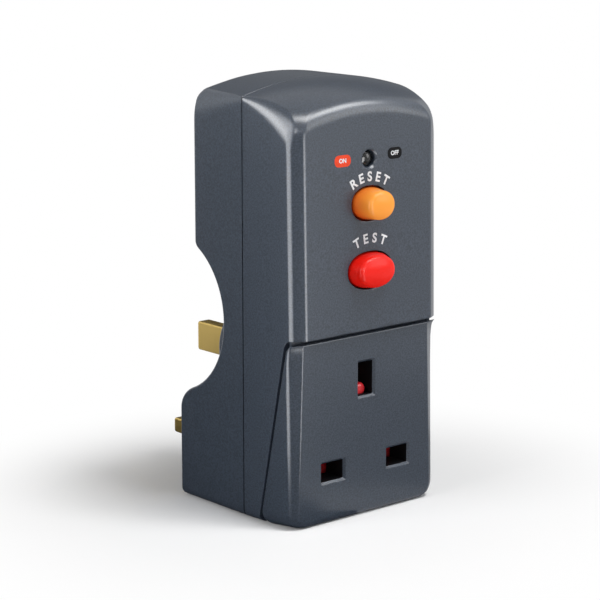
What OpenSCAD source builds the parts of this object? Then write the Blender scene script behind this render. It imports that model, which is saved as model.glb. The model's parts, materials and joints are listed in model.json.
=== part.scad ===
// Residual-current adapter plug: a plug-in housing with a three-pin socket, a trip gear and two buttons.
// Origin on the base at the parting plane of the two shells; +Z up, the socket faces -Y, the pins point +Y.

/* [Case] */
// Width of the case
body_w = 50.4; // [49:0.1:56]
// Height from the lip over the socket to the middle of the crown
head_h = 62.2; // [58:0.1:74]
// Wall thickness of the mouldings
wall = 2.2; // [1.8:0.1:2.4]
// Depth from the parting plane to the foot of the upper front face
front_d = 19.8; // [19.4:0.1:23]
// Depth from the parting plane to the upper rear face
rear_d = 19.2; // [18:0.1:20]
// Depth from the parting plane to the plug face
plug_d = 25.95; // [25:0.05:28]
// Radius of the crowned top, seen from the front
crown_r = 87; // [75:1:120]
// Radius of the roll from the top down to the front
roll_r = 35; // [30:0.5:40]
// Fillet along the upper side edges
top_edge_r = 2; // [1:0.1:3]
// Fillet along the lower side edges
base_edge_r = 1.5; // [0.5:0.1:2]
// Fillet between the top and the rear face
rear_top_r = 4; // [3:0.2:8]
// Fillet below the plug face
rear_base_r = 2; // [1:0.1:3]
// How far each side draws in from the parting plane to the front
side_draft = 0.9; // [0:0.1:1]
// Lean of the upper front face, in degrees
face_lean = 1.1; // [0:0.1:1.6]
// Width of the chamfers beside the upper front face
chamfer_w = 3; // [2:0.1:4]
// Depth of the chamfers beside the upper front face
chamfer_d = 2; // [1:0.1:2.5]
// Depth of the shallow panel on the rear face
panel_d = 0.3; // [0.2:0.1:0.6]

/* [Finger grips] */
// Radius of the grips
grip_r = 20.7; // [19:0.1:21]
// Depth of the grips' axis behind the parting plane
grip_y = 28.6; // [28:0.1:30]
// Height of the grips' axis
grip_z = 49.1; // [48:0.1:50.5]
// Fillet from the grips to the upper rear face
upper_shoulder_r = 2.5; // [2.4:0.1:4]
// Fillet from the grips to the plug face
lower_shoulder_r = 8; // [5:0.2:9]
// Width of the tongue between the grips
tongue_w = 25; // [22:0.2:27]
// Height of the tongue's round top
tongue_top = 50.4; // [48:0.2:54]

/* [Socket cover] */
// Height of the lip over the socket
lip_z = 48.5; // [48:0.1:52]
// Gap between the lip and the cover
lip_gap = 1.2; // [0.6:0.1:1.6]
// Step from the lip back to the cover's face
face_step = 1.4; // [1:0.1:2]
// Depth of the cover's flank at its top
flank_top_d = 2.4; // [2:0.1:4]
// Depth of the cover's flank at its foot
flank_low_d = 12.2; // [10:0.1:13]
// Width of the groove round the cover
groove = 0.5; // [0.3:0.1:0.8]
// Fillet at the top of the flank
flank_top_r = 2; // [1:0.1:2.2]
// Fillet at the foot of the flank
flank_low_r = 4; // [3:0.1:5]
// Fillet along the cover's lower front edge
cover_base_r = 3; // [1:0.1:4]
// Width of the chamfers beside the cover's face
cover_chamfer_w = 2.8; // [2:0.1:4]
// Depth of the chamfers beside the cover's face
cover_chamfer_d = 1.2; // [0.6:0.1:2]
// Thickness of the cover's inner skirt
skirt_t = 1.4; // [1:0.1:1.6]
// Reach of the skirt behind the groove
skirt_reach = 3; // [2:0.1:3.4]

/* [Pins and apertures] */
// Spacing of the line and neutral pins
pin_pitch = 22.23; // [22.1:0.01:22.4]
// Height of the line and neutral pins above the base
pin_z = 13.4; // [13:0.1:15]
// Rise from the line and neutral pins to the earth pin
earth_rise = 22.23; // [22.1:0.01:22.4]
// Width of the line and neutral pins
pin_w = 6.35; // [6.2:0.01:6.5]
// Height of the line and neutral pins
pin_h = 4; // [3.9:0.01:4.05]
// Length of the line and neutral pins beyond the plug face
pin_len = 17.7; // [17.2:0.1:18.2]
// Width of the earth pin
earth_w = 4; // [3.9:0.01:4.05]
// Height of the earth pin
earth_h = 8; // [7.8:0.01:8.05]
// Length of the earth pin beyond the plug face
earth_len = 22.7; // [22.2:0.1:23.2]
// Chamfer at the tips of the pins
pin_tip = 1.2; // [0.8:0.1:1.6]
// Length of the sleeves beyond the plug face
sleeve_len = 9.2; // [8.5:0.1:9.5]
// Thickness of the sleeves
sleeve_t = 0.5; // [0.4:0.05:0.7]
// Width of the line and neutral apertures
slot_w = 7.2; // [6.9:0.05:7.4]
// Height of the line and neutral apertures
slot_h = 4.9; // [4.6:0.05:5.1]
// Width of the earth aperture
earth_slot_w = 4.9; // [4.6:0.05:5.1]
// Height of the earth aperture
earth_slot_h = 8.8; // [8.5:0.05:9]

/* [Buttons and window] */
// Drop from the crown to the reset button's centre
reset_drop = 30.3; // [29.5:0.1:31]
// Width of the reset button
reset_w = 9.8; // [9:0.1:11]
// Height of the reset button
reset_h = 7.1; // [6.6:0.1:7.6]
// How far the reset button stands proud
reset_proud = 5.4; // [3.5:0.1:6]
// Travel of the reset button
reset_travel = 3; // [2.5:0.1:3.2]
// Rise from the lip to the test button's centre
test_rise = 15.15; // [15:0.05:16]
// Width of the test button
test_w = 12.8; // [11:0.1:14]
// Height of the test button
test_h = 8.2; // [7.6:0.1:8.8]
// How far the test button stands proud
test_proud = 3.9; // [2.5:0.1:4.5]
// Travel of the test button
test_travel = 2; // [1.5:0.1:2.4]
// Gap round each button in its hole
button_gap = 0.6; // [0.4:0.05:0.8]
// Thickness of the buttons' flanges
flange_t = 1.5; // [1:0.1:2]
// How far the flanges reach past the holes
flange_lap = 0.65; // [0.5:0.05:0.8]
// Radius of the reset button's stem
reset_stem_r = 2.6; // [2:0.1:2.8]
// Radius of the test button's stem
test_stem_r = 2.2; // [1.8:0.1:2.4]
// Drop from the crown to the status window's centre
window_drop = 19.2; // [18.4:0.1:19.4]
// Diameter of the status window
window_d = 5; // [4:0.1:5.6]
// Radius of the status drum
drum_r = 3.6; // [3:0.1:3.8]
// Length of the status drum
drum_len = 8; // [7:0.1:8.4]
// Turn of the status drum, in degrees
drum_turn = 75; // [60:1:80]

/* [Socket parts] */
// Depth from the cover's face to the shutter
shutter_depth = 7; // [6.2:0.1:7.2]
// Thickness of the shutter
shutter_t = 2; // [1.6:0.1:2.2]
// Travel of the shutter
shutter_travel = 6; // [5.8:0.1:6.4]
// Half width of the shutter's bar
shutter_half = 16.2; // [15.6:0.1:16.6]
// Thickness of the contact clips
clip_t = 0.8; // [0.6:0.05:1]
// Gap between a clip's leaves
clip_gap = 3.6; // [3.2:0.1:3.8]
// Thickness of the contact carrier
carrier_t = 2; // [1.6:0.1:2.4]
// Height of the contact carrier's lower edge
carrier_low = 9.6; // [9.5:0.1:10]
// Height of the contact carrier's upper edge
carrier_top = 46; // [45:0.1:46.2]
// Radius of the posts between the cover and the carrier
post_r = 2.6; // [2.2:0.1:2.8]
// Height of those posts
post_z = 27; // [26:0.1:28]

/* [Mechanism] */
// Thickness of the circuit board
board_t = 1.6; // [1.2:0.1:1.7]
// Rise from the lip to the board's lower edge
board_rise = 3.5; // [3:0.1:4.5]
// Gap between the board's upper edge and the top of the case
board_top_gap = 6.7; // [6:0.1:7.5]
// Thickness of the copper bars
bar_t = 0.8; // [0.6:0.05:1]
// Width of the copper bars
bar_w = 3; // [2.6:0.1:3.2]
// Distance of the contacts from the middle
contact_x = 10.5; // [10.3:0.1:10.8]
// Distance of the contacts above and below the reset button's centre
contact_rise = 3.2; // [3:0.1:3.4]
// Radius of the contact rivets
rivet_r = 1.4; // [1.1:0.05:1.5]
// Height of the fixed contacts
fixed_tip = 0.9; // [0.6:0.1:1.2]
// Height of the moving contacts
moving_tip = 1; // [0.6:0.1:1.2]
// Thickness of the contact carriage
carriage_t = 4; // [3.4:0.1:4.4]
// Half width of the contact carriage
carriage_half = 12.6; // [12.2:0.1:12.8]
// Half height of the contact carriage
carriage_rise = 4.4; // [4.2:0.1:4.6]
// Distance of the guide posts from the middle
guide_x = 4.5; // [4:0.1:4.8]
// Radius of the guide posts
guide_r = 1.5; // [1.2:0.05:1.6]
// Thickness of the mechanism frame
frame_t = 1.2; // [1:0.1:1.4]
// Radius of the toroid's core
core_r = 8.5; // [8:0.1:8.6]
// Radius of the hole in the core
core_hole_r = 4.3; // [4.1:0.1:4.6]
// Height of the core
core_h = 7; // [6:0.1:7.4]
// Thickness of the winding on the core
winding_t = 0.6; // [0.4:0.05:0.7]

/* [Board parts] */
// Length of the control chip
chip_w = 10; // [8:0.1:10.4]
// Height of the control chip
chip_h = 6.2; // [5:0.1:6.6]
// Thickness of the control chip
chip_t = 1.6; // [1.2:0.1:2]
// Radius of the varistor
varistor_r = 4.5; // [3.5:0.1:4.8]
// Thickness of the varistor
varistor_t = 4; // [3:0.1:5]
// Length of the capacitor
capacitor_w = 12; // [10:0.1:12.4]
// Height of the capacitor
capacitor_h = 10; // [8:0.1:10.4]
// Thickness of the capacitor
capacitor_t = 7; // [5:0.1:8]
// Radius of the test resistor
resistor_r = 1.5; // [1.2:0.1:1.8]
// Length of the test resistor
resistor_w = 6.8; // [6:0.1:7]

/* [Trip gear] */
// Drop from the board's upper edge to the solenoid's axis
coil_drop = 7.5; // [7.2:0.1:8]
// Outer radius of the trip coil
coil_r = 4.8; // [4:0.1:5]
// Radius of the bobbin's flanges
bobbin_r = 5.2; // [5:0.1:5.4]
// Radius of the bobbin's bore
bore_r = 2.2; // [1.9:0.05:2.3]
// Travel of the plunger
plunger_travel = 1.5; // [1.2:0.1:1.6]
// Radius of the plunger's push rod
rod_r = 1; // [0.8:0.05:1.1]
// Radius of the latch pin
latch_pin_r = 1.2; // [1:0.05:1.3]
// Thickness of the latch lever
lever_t = 2; // [1.6:0.1:2.2]

/* [Fixings] */
// Radius of the case screws' shanks
screw_r = 1.5; // [1.3:0.05:1.6]
// Radius of the case screws' heads
head_r = 2.7; // [2.4:0.05:2.8]
// Length of the case screws' shanks
screw_len = 16; // [14:0.5:18]
// Height of the lower case screws
low_screw_z = 6; // [5.8:0.1:6.1]
// Drop from the crown to the upper case screws
top_screw_drop = 14.7; // [13.7:0.1:15.7]
// Radius of the board screws' shanks
board_screw_r = 1; // [0.8:0.05:1.2]
// Radius of the board screws' heads
board_head_r = 2; // [1.8:0.05:2.2]
// Length of the board screws behind the board
board_screw_len = 6; // [5:0.5:7]
// Radius of the board's posts
board_post_r = 2.2; // [2:0.05:2.4]
// Radius of the carrier screws' shanks
carrier_screw_r = 1.05; // [0.9:0.05:1.2]
// Radius of the carrier screws' heads
carrier_head_r = 2.3; // [2:0.05:2.5]
// Length of the carrier screws in front of the carrier
carrier_screw_len = 7; // [5:0.5:8]

/* [Fits] */
// Gap between pieces that move past each other
run_gap = 0.3; // [0.25:0.01:0.35]
// Radial gap of pins in their bores
pin_fit = 0.1; // [0.05:0.01:0.1]
// Gap round pieces that are pressed or moulded in
seat_gap = 0.05; // [0.02:0.01:0.08]

/* [Hidden] */
$fn = 64;
cut = 1;
half_w = body_w / 2;
half_in = half_w - wall;
front_half = half_w - side_draft;
body_h = lip_z + head_h;
roll_z = body_h - roll_r;
reset_z = body_h - reset_drop;
test_z = lip_z + test_rise;
window_z = body_h - window_drop;
top_screw_z = body_h - top_screw_drop;
board_low = lip_z + board_rise;
small_r = 0.3;

// Planes of the front, from outside to inside
lean_d = (window_z - lip_z) * tan(face_lean);
front_in = -(front_d - lean_d - wall);
cover_y = -(front_d - face_step);
cover_in = cover_y + wall;
cover_top = lip_z - lip_gap;
flank_top_y = cover_y + flank_top_d;
flank_low_y = cover_y + flank_low_d;
flank_angle = acos((flank_low_y - flank_top_y) / norm([flank_low_y - flank_top_y, cover_top]));
flank_foot_y = flank_low_y - flank_low_r / tan(flank_angle / 2) + flank_low_r * 0.62;

// Plane that carries the board and the contact carrier, just in front of the grips' inner wall
datum_y = grip_y - grip_r - wall - carrier_t - run_gap;
board_back = datum_y + board_t;
carrier_back = datum_y + carrier_t;
bar_front = datum_y - bar_t;

// Stack of the contacts and the carriage, from the board forward
fixed_front = bar_front - fixed_tip;
moving_back = fixed_front - reset_travel - run_gap;
carriage_back = moving_back - moving_tip - bar_t;
carriage_front = carriage_back - carriage_t;
plate_back = carriage_front - 2 * run_gap;
plate_front = plate_back - frame_t;
guide_base_t = 1.6;
guide_base_y = datum_y - guide_base_t;

// Buttons
flange_front = front_in + run_gap;
flange_back = flange_front + flange_t;
reset_front = face_y(reset_z) - reset_proud;
test_front = face_y(test_z) - test_proud;
pad_t = 0.3;
bridge_t = 0.6;
test_stem_end = datum_y - pad_t - run_gap - test_travel - bridge_t;
spring_wire = 0.9;

// Status window and drum
lens_flange_t = 0.7;
lens_flange_r = window_d / 2 + 0.9;
drum_y = front_in + lens_flange_t + run_gap + drum_r;
crank_r = reset_travel / (2 * sin(drum_turn / 2));
crank_pin_r = 0.7;
crank_y = drum_y - crank_r * sin(drum_turn / 2);
crank_z = window_z - crank_r * cos(drum_turn / 2);
trunnion_r = 1;
rib_t = 1.6;
rib_rise = 2.5;
fork_x = drum_len / 2 + run_gap;
fork_t = 1.6;
rib_x = fork_x + fork_t + run_gap;
arm_z = window_z - 5.75;
arm_h = 2;
prong_top = window_z - trunnion_r - run_gap;
prong_t = 1.3;

// Pins
pin_x = pin_pitch / 2;
earth_z = pin_z + earth_rise;
plug_in = plug_d - wall;
pin_flange_t = 2;
pin_flange_lap = 1.5;
flange_in = plug_in - pin_flange_t;

// Socket parts
shutter_y = cover_y + shutter_depth;
shutter_back = shutter_y + shutter_t;
channel_t = 1.2;
channel_end = shutter_y - run_gap;
bar_top = pin_z + slot_h / 2 + 1.3;
bar_low = pin_z - slot_h / 2 - 0.95;
nose_w = earth_slot_w - 2 * 0.35;
nose_low = earth_z - earth_slot_h / 2 - 0.7;
nose_lip = earth_z - earth_h / 2 + 1.4;
nose_top = earth_z - earth_h / 2 + shutter_travel - 0.1;
stem_half = 4;
peg_half = 1.4;
peg_h = 1;
peg_z = bar_top + 2 * run_gap;
spring_top = nose_low - 1.6;
clip_front = shutter_back + 2 * run_gap;
clip_half = 3.2;
clip_web_h = 3.4;
earth_leaf_h = 7.2;
earth_web_y = cover_y + earth_len + 0.9;
post_x = 12.6;
carrier_half = post_x + post_r;

// Board and bars
top_boss_x = half_in - 3.7;
low_boss_x = half_in - 5.2;
boss_r = 3.2;
head_boss_r = head_r + 1.7;
head_seat_y = 10;
screw_head_h = 2;
cross_reach = 1.9;
cross_half = 0.35;
cross_d = 1;
board_top = body_h - board_top_gap;
board_half = top_boss_x - boss_r - 0.5;
strip_out = half_in - 1.5;
strip_in = strip_out - 3.5;
supply_z = reset_z + contact_rise;
load_z = reset_z - contact_rise;
bar_half = bar_w / 2;
lug_z = pin_z - pin_h / 2;
lug_top = pin_z + pin_h / 2;
lug_y = flange_in - 1.75;
toroid_y = datum_y - run_gap - core_r - winding_t;
toroid_z = lip_z + 0.8;
through_x = 1.7;
through_half = 1.5;
shelf_z = toroid_z + core_h + 2 * winding_t + 1;
tray_z = toroid_z - 2 * winding_t - 0.7 - bar_t;
drop_out = post_x - post_r - 2 * run_gap;
drop_in = drop_out - bar_w;

// Mechanism frame
cheek_in = carriage_half + 1;
cheek_t = 1.6;
plate_low = test_z - 4;
plate_top = reset_z + 4.8;
web_rise = contact_rise - bar_half - run_gap;

// Trip gear
coil_y = -3;
coil_z = board_top - coil_drop;
bracket_t = 1;
bobbin_x0 = -4;
bobbin_x1 = board_half - 1.2;
bobbin_wall = 1;
closed_spring = 4.5;
armature_x = bobbin_x0 + closed_spring + plunger_travel;
rod_end = 5 - board_half;
lever_right = rod_end - run_gap;
lever_w = 2.7;
pivot_x = lever_right - lever_w / 2;
pivot_z = coil_z + 5.8;
hub_r = 2.6;
latch_collar_r = latch_pin_r + 0.8;
latch_spring_t = 0.7;
lever_low = reset_z + carriage_rise + run_gap;
lever_front = coil_y - lever_t / 2;
lever_back = coil_y + lever_t / 2;

// Board fixings and what stands on the board
chip_drop = 1.4;
low_screw_drop = 10.4;
high_screw_drop = 3.2;
board_screws_at = [[6, reset_z - low_screw_drop], [9, window_z - high_screw_drop]];
board_head_h = 1.5;
carrier_head_h = 1.6;
carrier_post_r = 2;
varistor_side = 3.1;
varistor_drop = 2.5;

// Depth of the leaning front face at a height
function face_y(z) = -front_d + (z - lip_z) * tan(face_lean);

// Depth of the middle of the grips' wall at a height
function grip_wall_y(z) = grip_y - sqrt(max(pow(grip_r + wall / 2, 2) - pow(z - grip_z, 2), 0));

// Points of a polygon's corner b, between a and c, turned into an arc
function arc_corner(a, b, c, r, steps = 6) =
    r <= 0 ? [b] :
    let (
        to_a = (a - b) / norm(a - b),
        to_c = (c - b) / norm(c - b),
        half = acos(to_a * to_c) / 2,
        centre = b + (to_a + to_c) / norm(to_a + to_c) * r / sin(half),
        first = b + to_a * r / tan(half) - centre,
        last = b + to_c * r / tan(half) - centre,
        start = atan2(first.y, first.x),
        turn = (atan2(last.y, last.x) - start + 540) % 360 - 180
    )
    [for (i = [0 : steps]) centre + r * [cos(start + turn * i / steps), sin(start + turn * i / steps)]];

// Polygon with a radius at each corner
function rounded(pts, radii) =
    let (n = len(pts))
    [for (i = [0 : n - 1]) each arc_corner(pts[(i + n - 1) % n], pts[i], pts[(i + 1) % n], radii[i])];

module block(low, high) translate(low) cube(high - low);

module along_x(x0, x1) translate([x0, 0, 0]) rotate([90, 0, 90]) linear_extrude(x1 - x0) children();

module along_y(y0, y1) translate([0, y1, 0]) rotate([90, 0, 0]) linear_extrude(y1 - y0) children();

module rod_x(r, x0, x1, y, z) translate([x0, y, z]) rotate([0, 90, 0]) cylinder(r = r, h = x1 - x0);

module rod_y(r, y0, y1, x, z) translate([x, y0, z]) rotate([-90, 0, 0]) cylinder(r = r, h = y1 - y0);

module tube_y(r_in, r_out, y0, y1, x, z)
    difference() {
        rod_y(r_out, y0, y1, x, z);
        rod_y(r_in, y0 - cut, y1 + cut, x, z);
    }

module both_sides() {
    children();
    mirror([1, 0, 0]) children();
}

module ellipse(w, h) polygon([for (a = [0 : 7.5 : 352.5]) [w / 2 * cos(a), h / 2 * sin(a)]]);

// Outline of the case from the front: straight sides, crowned top and small fillets
module crown_outline(inset) {
    half = half_w - inset;
    big_r = crown_r - inset;
    edge_r = max(top_edge_r - inset, small_r);
    low_r = max(base_edge_r - inset, small_r);
    centre_z = body_h - crown_r;
    edge_z = centre_z + sqrt(pow(big_r - edge_r, 2) - pow(half - edge_r, 2));
    reach = 1.5;
    intersection() {
        translate([0, centre_z]) circle(big_r);
        polygon([
            [0, centre_z],
            [reach * (half - edge_r), centre_z + reach * (edge_z - centre_z)],
            [-reach * (half - edge_r), centre_z + reach * (edge_z - centre_z)]
        ]);
    }
    translate([-half, inset + low_r]) square([2 * half, edge_z - inset - low_r]);
    translate([low_r - half, inset]) square([2 * (half - low_r), 2 * low_r]);
    for (side = [-1, 1]) {
        translate([side * (half - edge_r), edge_z]) circle(edge_r);
        translate([side * (half - low_r), inset + low_r]) circle(low_r);
    }
}

// Front form: the crown rolled forward about a line across the case, above straight sides
module front_form(inset, back) {
    translate([0, 0, roll_z]) rotate([0, 90, 0]) rotate_extrude()
        intersection() {
            translate([-roll_z, 0]) rotate(-90) crown_outline(inset);
            translate([0, -body_w]) square([body_h, 2 * body_w]);
        }
    along_y(-2 * front_d, back)
        intersection() {
            crown_outline(inset);
            translate([-body_w, 0]) square([2 * body_w, roll_z]);
        }
}

// Prism behind a face at y = 0, with a chamfer at each side
module chamfered_prism(w, d)
    linear_extrude(2 * body_h)
        polygon([
            [front_half + w, 2 * body_h], [front_half + w, 2 * d], [front_half - w, 0],
            [w - front_half, 0], [-front_half - w, 2 * d], [-front_half - w, 2 * body_h]
        ]);

// Prism whose sides draw in from the parting plane to the front
module drafted_sides()
    linear_extrude(4 * body_h, center = true)
        polygon([
            [half_w + side_draft, front_d], [half_w - 2 * side_draft, -2 * front_d],
            [2 * side_draft - half_w, -2 * front_d], [-half_w - side_draft, front_d]
        ]);

// Side outline of the socket cover
module cover_side()
    polygon(rounded(
        [[cover_y, 0], [cover_y, cover_top], [flank_top_y, cover_top], [flank_low_y, 0]],
        [cover_base_r, small_r, flank_top_r, flank_low_r]
    ));

// Room that the front shell leaves for the cover and its groove
module cover_room() {
    polygon(rounded(
        [
            [-2 * front_d, 0], [-2 * front_d, lip_z],
            [flank_top_y + groove, lip_z], [flank_low_y + groove, 0]
        ],
        [0, 0, flank_top_r, flank_low_r]
    ));
    translate([-2 * front_d, -cut]) square([2 * front_d + flank_foot_y, 2 * cut]);
}

module case_screw_places(y) {
    both_sides() translate([top_boss_x, y, top_screw_z]) children();
    both_sides() translate([low_boss_x, y, low_screw_z]) children();
}

module front_shell() color("slategray") {
    difference() {
        intersection() {
            front_form(0, cut);
            translate([0, -front_d, lip_z]) rotate([-face_lean, 0, 0])
                translate([0, 0, -body_h]) chamfered_prism(chamfer_w, chamfer_d);
            drafted_sides();
            block([-body_w, -2 * front_d, -cut], [body_w, 0, body_h + cut]);
        }
        intersection() {
            front_form(wall, 2 * cut);
            block([-body_w, front_in, -cut], [body_w, 3 * cut, body_h + cut]);
        }
        along_x(-body_w, body_w) cover_room();
        rod_y(window_d / 2 + seat_gap, -2 * front_d, front_in + cut, 0, window_z);
        translate([0, 0, reset_z]) along_y(-2 * front_d, front_in + cut)
            ellipse(reset_w + 2 * button_gap, reset_h + 2 * button_gap);
        translate([0, 0, test_z]) along_y(-2 * front_d, front_in + cut)
            ellipse(test_w + 2 * button_gap, test_h + 2 * button_gap);
    }
    both_sides() front_bosses();
    drum_ribs();
}

// Screw bosses of the front shell, each with a web to the nearest wall
module front_bosses() {
    pilot = screw_len - head_seat_y + 1;
    difference() {
        union() {
            rod_y(boss_r, front_in - wall / 2, 0, top_boss_x, top_screw_z);
            block([top_boss_x, -pilot - 2, top_screw_z - 1], [half_in + wall / 2, 0, top_screw_z + 1]);
            rod_y(boss_r, flank_low_y + groove, 0, low_boss_x, low_screw_z);
            block([low_boss_x - 2, flank_low_y + groove, wall / 2], [low_boss_x + 2, 0, low_screw_z]);
        }
        rod_y(screw_r + seat_gap, -pilot, cut, top_boss_x, top_screw_z);
        rod_y(screw_r + seat_gap, -pilot, cut, low_boss_x, low_screw_z);
    }
}

// Ribs behind the window that carry the status drum
module drum_ribs()
    difference() {
        for (x = [-fork_x - rib_t, rib_x])
            block(
                [x, front_in - wall / 2, window_z - rib_rise],
                [x + rib_t, drum_y + 2, window_z + rib_rise]
            );
        rod_x(trunnion_r + pin_fit, -half_w, half_w, drum_y, window_z);
    }

// Side outline of the rear shell, or of its cavity
module rear_side(inset) {
    difference() {
        polygon(rounded(
            [
                [-inset, inset], [plug_d - inset, inset], [plug_d - inset, grip_z],
                [rear_d - inset, grip_z], [rear_d - inset, body_h - inset], [-inset, body_h - inset]
            ],
            [0, max(rear_base_r - inset, 0), 0, 0, rear_top_r - inset, 0]
        ));
        translate([grip_y, grip_z]) circle(grip_r + inset);
        if (inset == 0) shoulder(rear_d, upper_shoulder_r, inset, 1);
        shoulder(plug_d, lower_shoulder_r, inset, -1);
    }
}

// What a fillet takes off the corner between a rear face and the grips
module shoulder(face, r, inset, way) {
    centre_y = face - r;
    rise = sqrt(pow(grip_r + r, 2) - pow(grip_y - centre_y, 2));
    centre_z = grip_z + way * rise;
    share = (grip_r + inset - wall / 4) / (grip_r + r);
    difference() {
        polygon([
            [centre_y, centre_z], [plug_d + cut, centre_z], [plug_d + cut, grip_z],
            [grip_y - share * (grip_y - centre_y), grip_z + share * way * rise]
        ]);
        translate([centre_y, centre_z]) circle(r - inset);
    }
}

module tongue_outline(inset) {
    half = tongue_w / 2 - inset;
    translate([0, tongue_top - tongue_w / 2]) circle(half);
    translate([-half, wall + inset]) square([2 * half, tongue_top - tongue_w / 2 - wall - inset]);
}

module rear_shell() color("slategray")
    difference() {
        union() {
            difference() {
                union() {
                    intersection() {
                        along_y(0, plug_d + cut) crown_outline(0);
                        along_x(-body_w, body_w) rear_side(0);
                    }
                    along_y(grip_y - grip_r - wall / 2, plug_d) tongue_outline(0);
                }
                intersection() {
                    along_y(-cut, plug_d) crown_outline(wall);
                    along_x(-body_w, body_w) rear_side(wall);
                }
                along_y(-cut, plug_in) tongue_outline(wall);
            }
            both_sides() rear_bosses();
            both_sides() board_posts();
            both_sides() carrier_posts();
        }
        case_screw_places(0) {
            rod_y(screw_r + seat_gap, -cut, plug_d + cut, 0, 0);
            rod_y(head_r + run_gap, head_seat_y, plug_d + cut, 0, 0);
        }
        board_pilots();
        pin_slots();
        block(
            [-half_in + 5, rear_d - panel_d, grip_z + grip_r + 5],
            [half_in - 5, rear_d + cut, top_screw_z - head_r - 3]
        );
    }

module rear_bosses() {
    rod_y(boss_r, 0, rear_d - wall / 2, top_boss_x, top_screw_z);
    rod_y(head_boss_r, head_seat_y - 2, rear_d - wall / 2, top_boss_x, top_screw_z);
    block([top_boss_x, 0, top_screw_z - 1], [half_in + wall / 2, rear_d - wall, top_screw_z + 1]);
    rod_y(boss_r, 0, plug_d - wall / 2, low_boss_x, low_screw_z);
    rod_y(head_boss_r, head_seat_y - 2, plug_d - wall / 2, low_boss_x, low_screw_z);
}

module board_posts()
    for (place = board_screws_at)
        rod_y(board_post_r, board_back, rear_d - wall / 2, place.x, place.y);

module board_pilots()
    both_sides()
        for (place = board_screws_at)
            rod_y(board_screw_r + seat_gap, board_back - cut, board_back + board_screw_len + cut, place.x, place.y);

module carrier_posts() {
    high_z = carrier_top - carrier_post_r - 1;
    rod_y(carrier_post_r, carrier_back, plug_d - wall / 2, post_x, pin_z + 3 * carrier_post_r);
    rod_y(carrier_post_r, carrier_back, grip_wall_y(high_z), post_x, high_z);
}

module pin_slots() {
    block(
        [-earth_w / 2 - seat_gap, plug_in - cut, earth_z - earth_h / 2 - seat_gap],
        [earth_w / 2 + seat_gap, plug_d + cut, earth_z + earth_h / 2 + seat_gap]
    );
    both_sides() block(
        [pin_x - pin_w / 2 - seat_gap, plug_in - cut, pin_z - pin_h / 2 - seat_gap],
        [pin_x + pin_w / 2 + seat_gap, plug_d + cut, pin_z + pin_h / 2 + seat_gap]
    );
}

// Hollow guide behind an aperture, centred on the origin of X and Z
module channel(w, h)
    along_y(cover_in - wall / 2, channel_end)
        difference() {
            square([w + 2 * channel_t, h + 2 * channel_t], center = true);
            square([w, h], center = true);
        }

module socket_cover() color("slategray")
    difference() {
        union() {
            cover_skin();
            both_sides() cover_skirt();
            cover_tongue();
            both_sides() translate([pin_x, 0, pin_z]) channel(slot_w, slot_h);
            difference() {
                translate([0, 0, earth_z]) channel(earth_slot_w, earth_slot_h);
                block(
                    [-nose_w, cover_in, nose_low - channel_t],
                    [nose_w, shutter_y, earth_z - earth_slot_h / 2 + cut]
                );
            }
            both_sides() rod_y(post_r, cover_in - wall / 2, datum_y, post_x, post_z);
            both_sides() block(
                [shutter_half + run_gap, cover_in - wall / 2, bar_low - cut],
                [shutter_half + run_gap + channel_t, shutter_back, bar_top]
            );
            block([-peg_half, cover_in - wall / 2, peg_z], [peg_half, shutter_back, peg_z + peg_h]);
        }
        both_sides() translate([pin_x, 0, pin_z]) along_y(cover_y - cut, cover_in)
            square([slot_w, slot_h], center = true);
        translate([0, 0, earth_z]) along_y(cover_y - cut, cover_in)
            square([earth_slot_w, earth_slot_h], center = true);
        both_sides() translate([post_x, datum_y, post_z])
            rod_y(carrier_screw_r + seat_gap, -carrier_screw_len - cut, cut, 0, 0);
    }

module cover_skin()
    difference() {
        intersection() {
            along_y(cover_y, 0) crown_outline(0);
            translate([0, cover_y, -cut]) chamfered_prism(cover_chamfer_w, cover_chamfer_d);
            drafted_sides();
            along_x(-body_w, body_w) cover_side();
        }
        block([-half_in, cover_in, wall], [half_in, cut, lip_z]);
    }

// Skirt that closes the groove from inside, standing clear of the front shell's wall
module cover_skirt() {
    skirt_x = half_in - run_gap - skirt_t;
    intersection() {
        along_x(skirt_x, half_in - run_gap) translate([skirt_reach, lip_gap + 1.5]) cover_side();
        block([0, cover_in - cut, wall + run_gap], [half_w, 0, body_h]);
    }
    intersection() {
        along_x(skirt_x, half_in + wall / 2) cover_side();
        block([0, cover_y + wall, wall / 2], [half_w, 0, cover_top - flank_top_r]);
    }
}

module cover_tongue()
    block(
        [-half_in + run_gap, front_in + run_gap, cover_top - 4],
        [half_in - run_gap, cover_y + skirt_reach + seat_gap, lip_z + 2.5]
    );

module shutter() color("red")
    difference() {
        union() {
            block([-shutter_half, shutter_y, bar_low], [shutter_half, shutter_back, bar_top]);
            block([-stem_half, shutter_y, bar_low], [stem_half, shutter_back, nose_top]);
            along_x(-nose_w / 2, nose_w / 2) polygon([
                [cover_in + run_gap, nose_low], [cover_in + run_gap, nose_lip],
                [cover_in + run_gap + nose_top - nose_lip, nose_top], [shutter_back, nose_top],
                [shutter_back, nose_low]
            ]);
        }
        block(
            [-peg_half - 0.5, shutter_y - cut, peg_z - run_gap],
            [peg_half + 0.5, shutter_back + cut, spring_top]
        );
    }

module shutter_spring() color("silver")
    translate([0, shutter_y + shutter_t / 2, peg_z + peg_h])
        cylinder(r = shutter_t / 2 - 0.1, h = spring_top - peg_z - peg_h);

// Button: an oval cap through its hole, a flange behind the wall and a round stem
module button(w, h, front, stem_r, stem_end) {
    along_y(front, flange_back) ellipse(w, h);
    along_y(flange_front, flange_back)
        ellipse(w + 2 * (button_gap + flange_lap), h + 2 * (button_gap + flange_lap));
    rod_y(stem_r, flange_back - cut, stem_end, 0, 0);
}

module reset_button() color("darkorange")
    translate([0, 0, reset_z])
        button(reset_w, reset_h, reset_front, reset_stem_r, carriage_front - run_gap);

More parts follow.
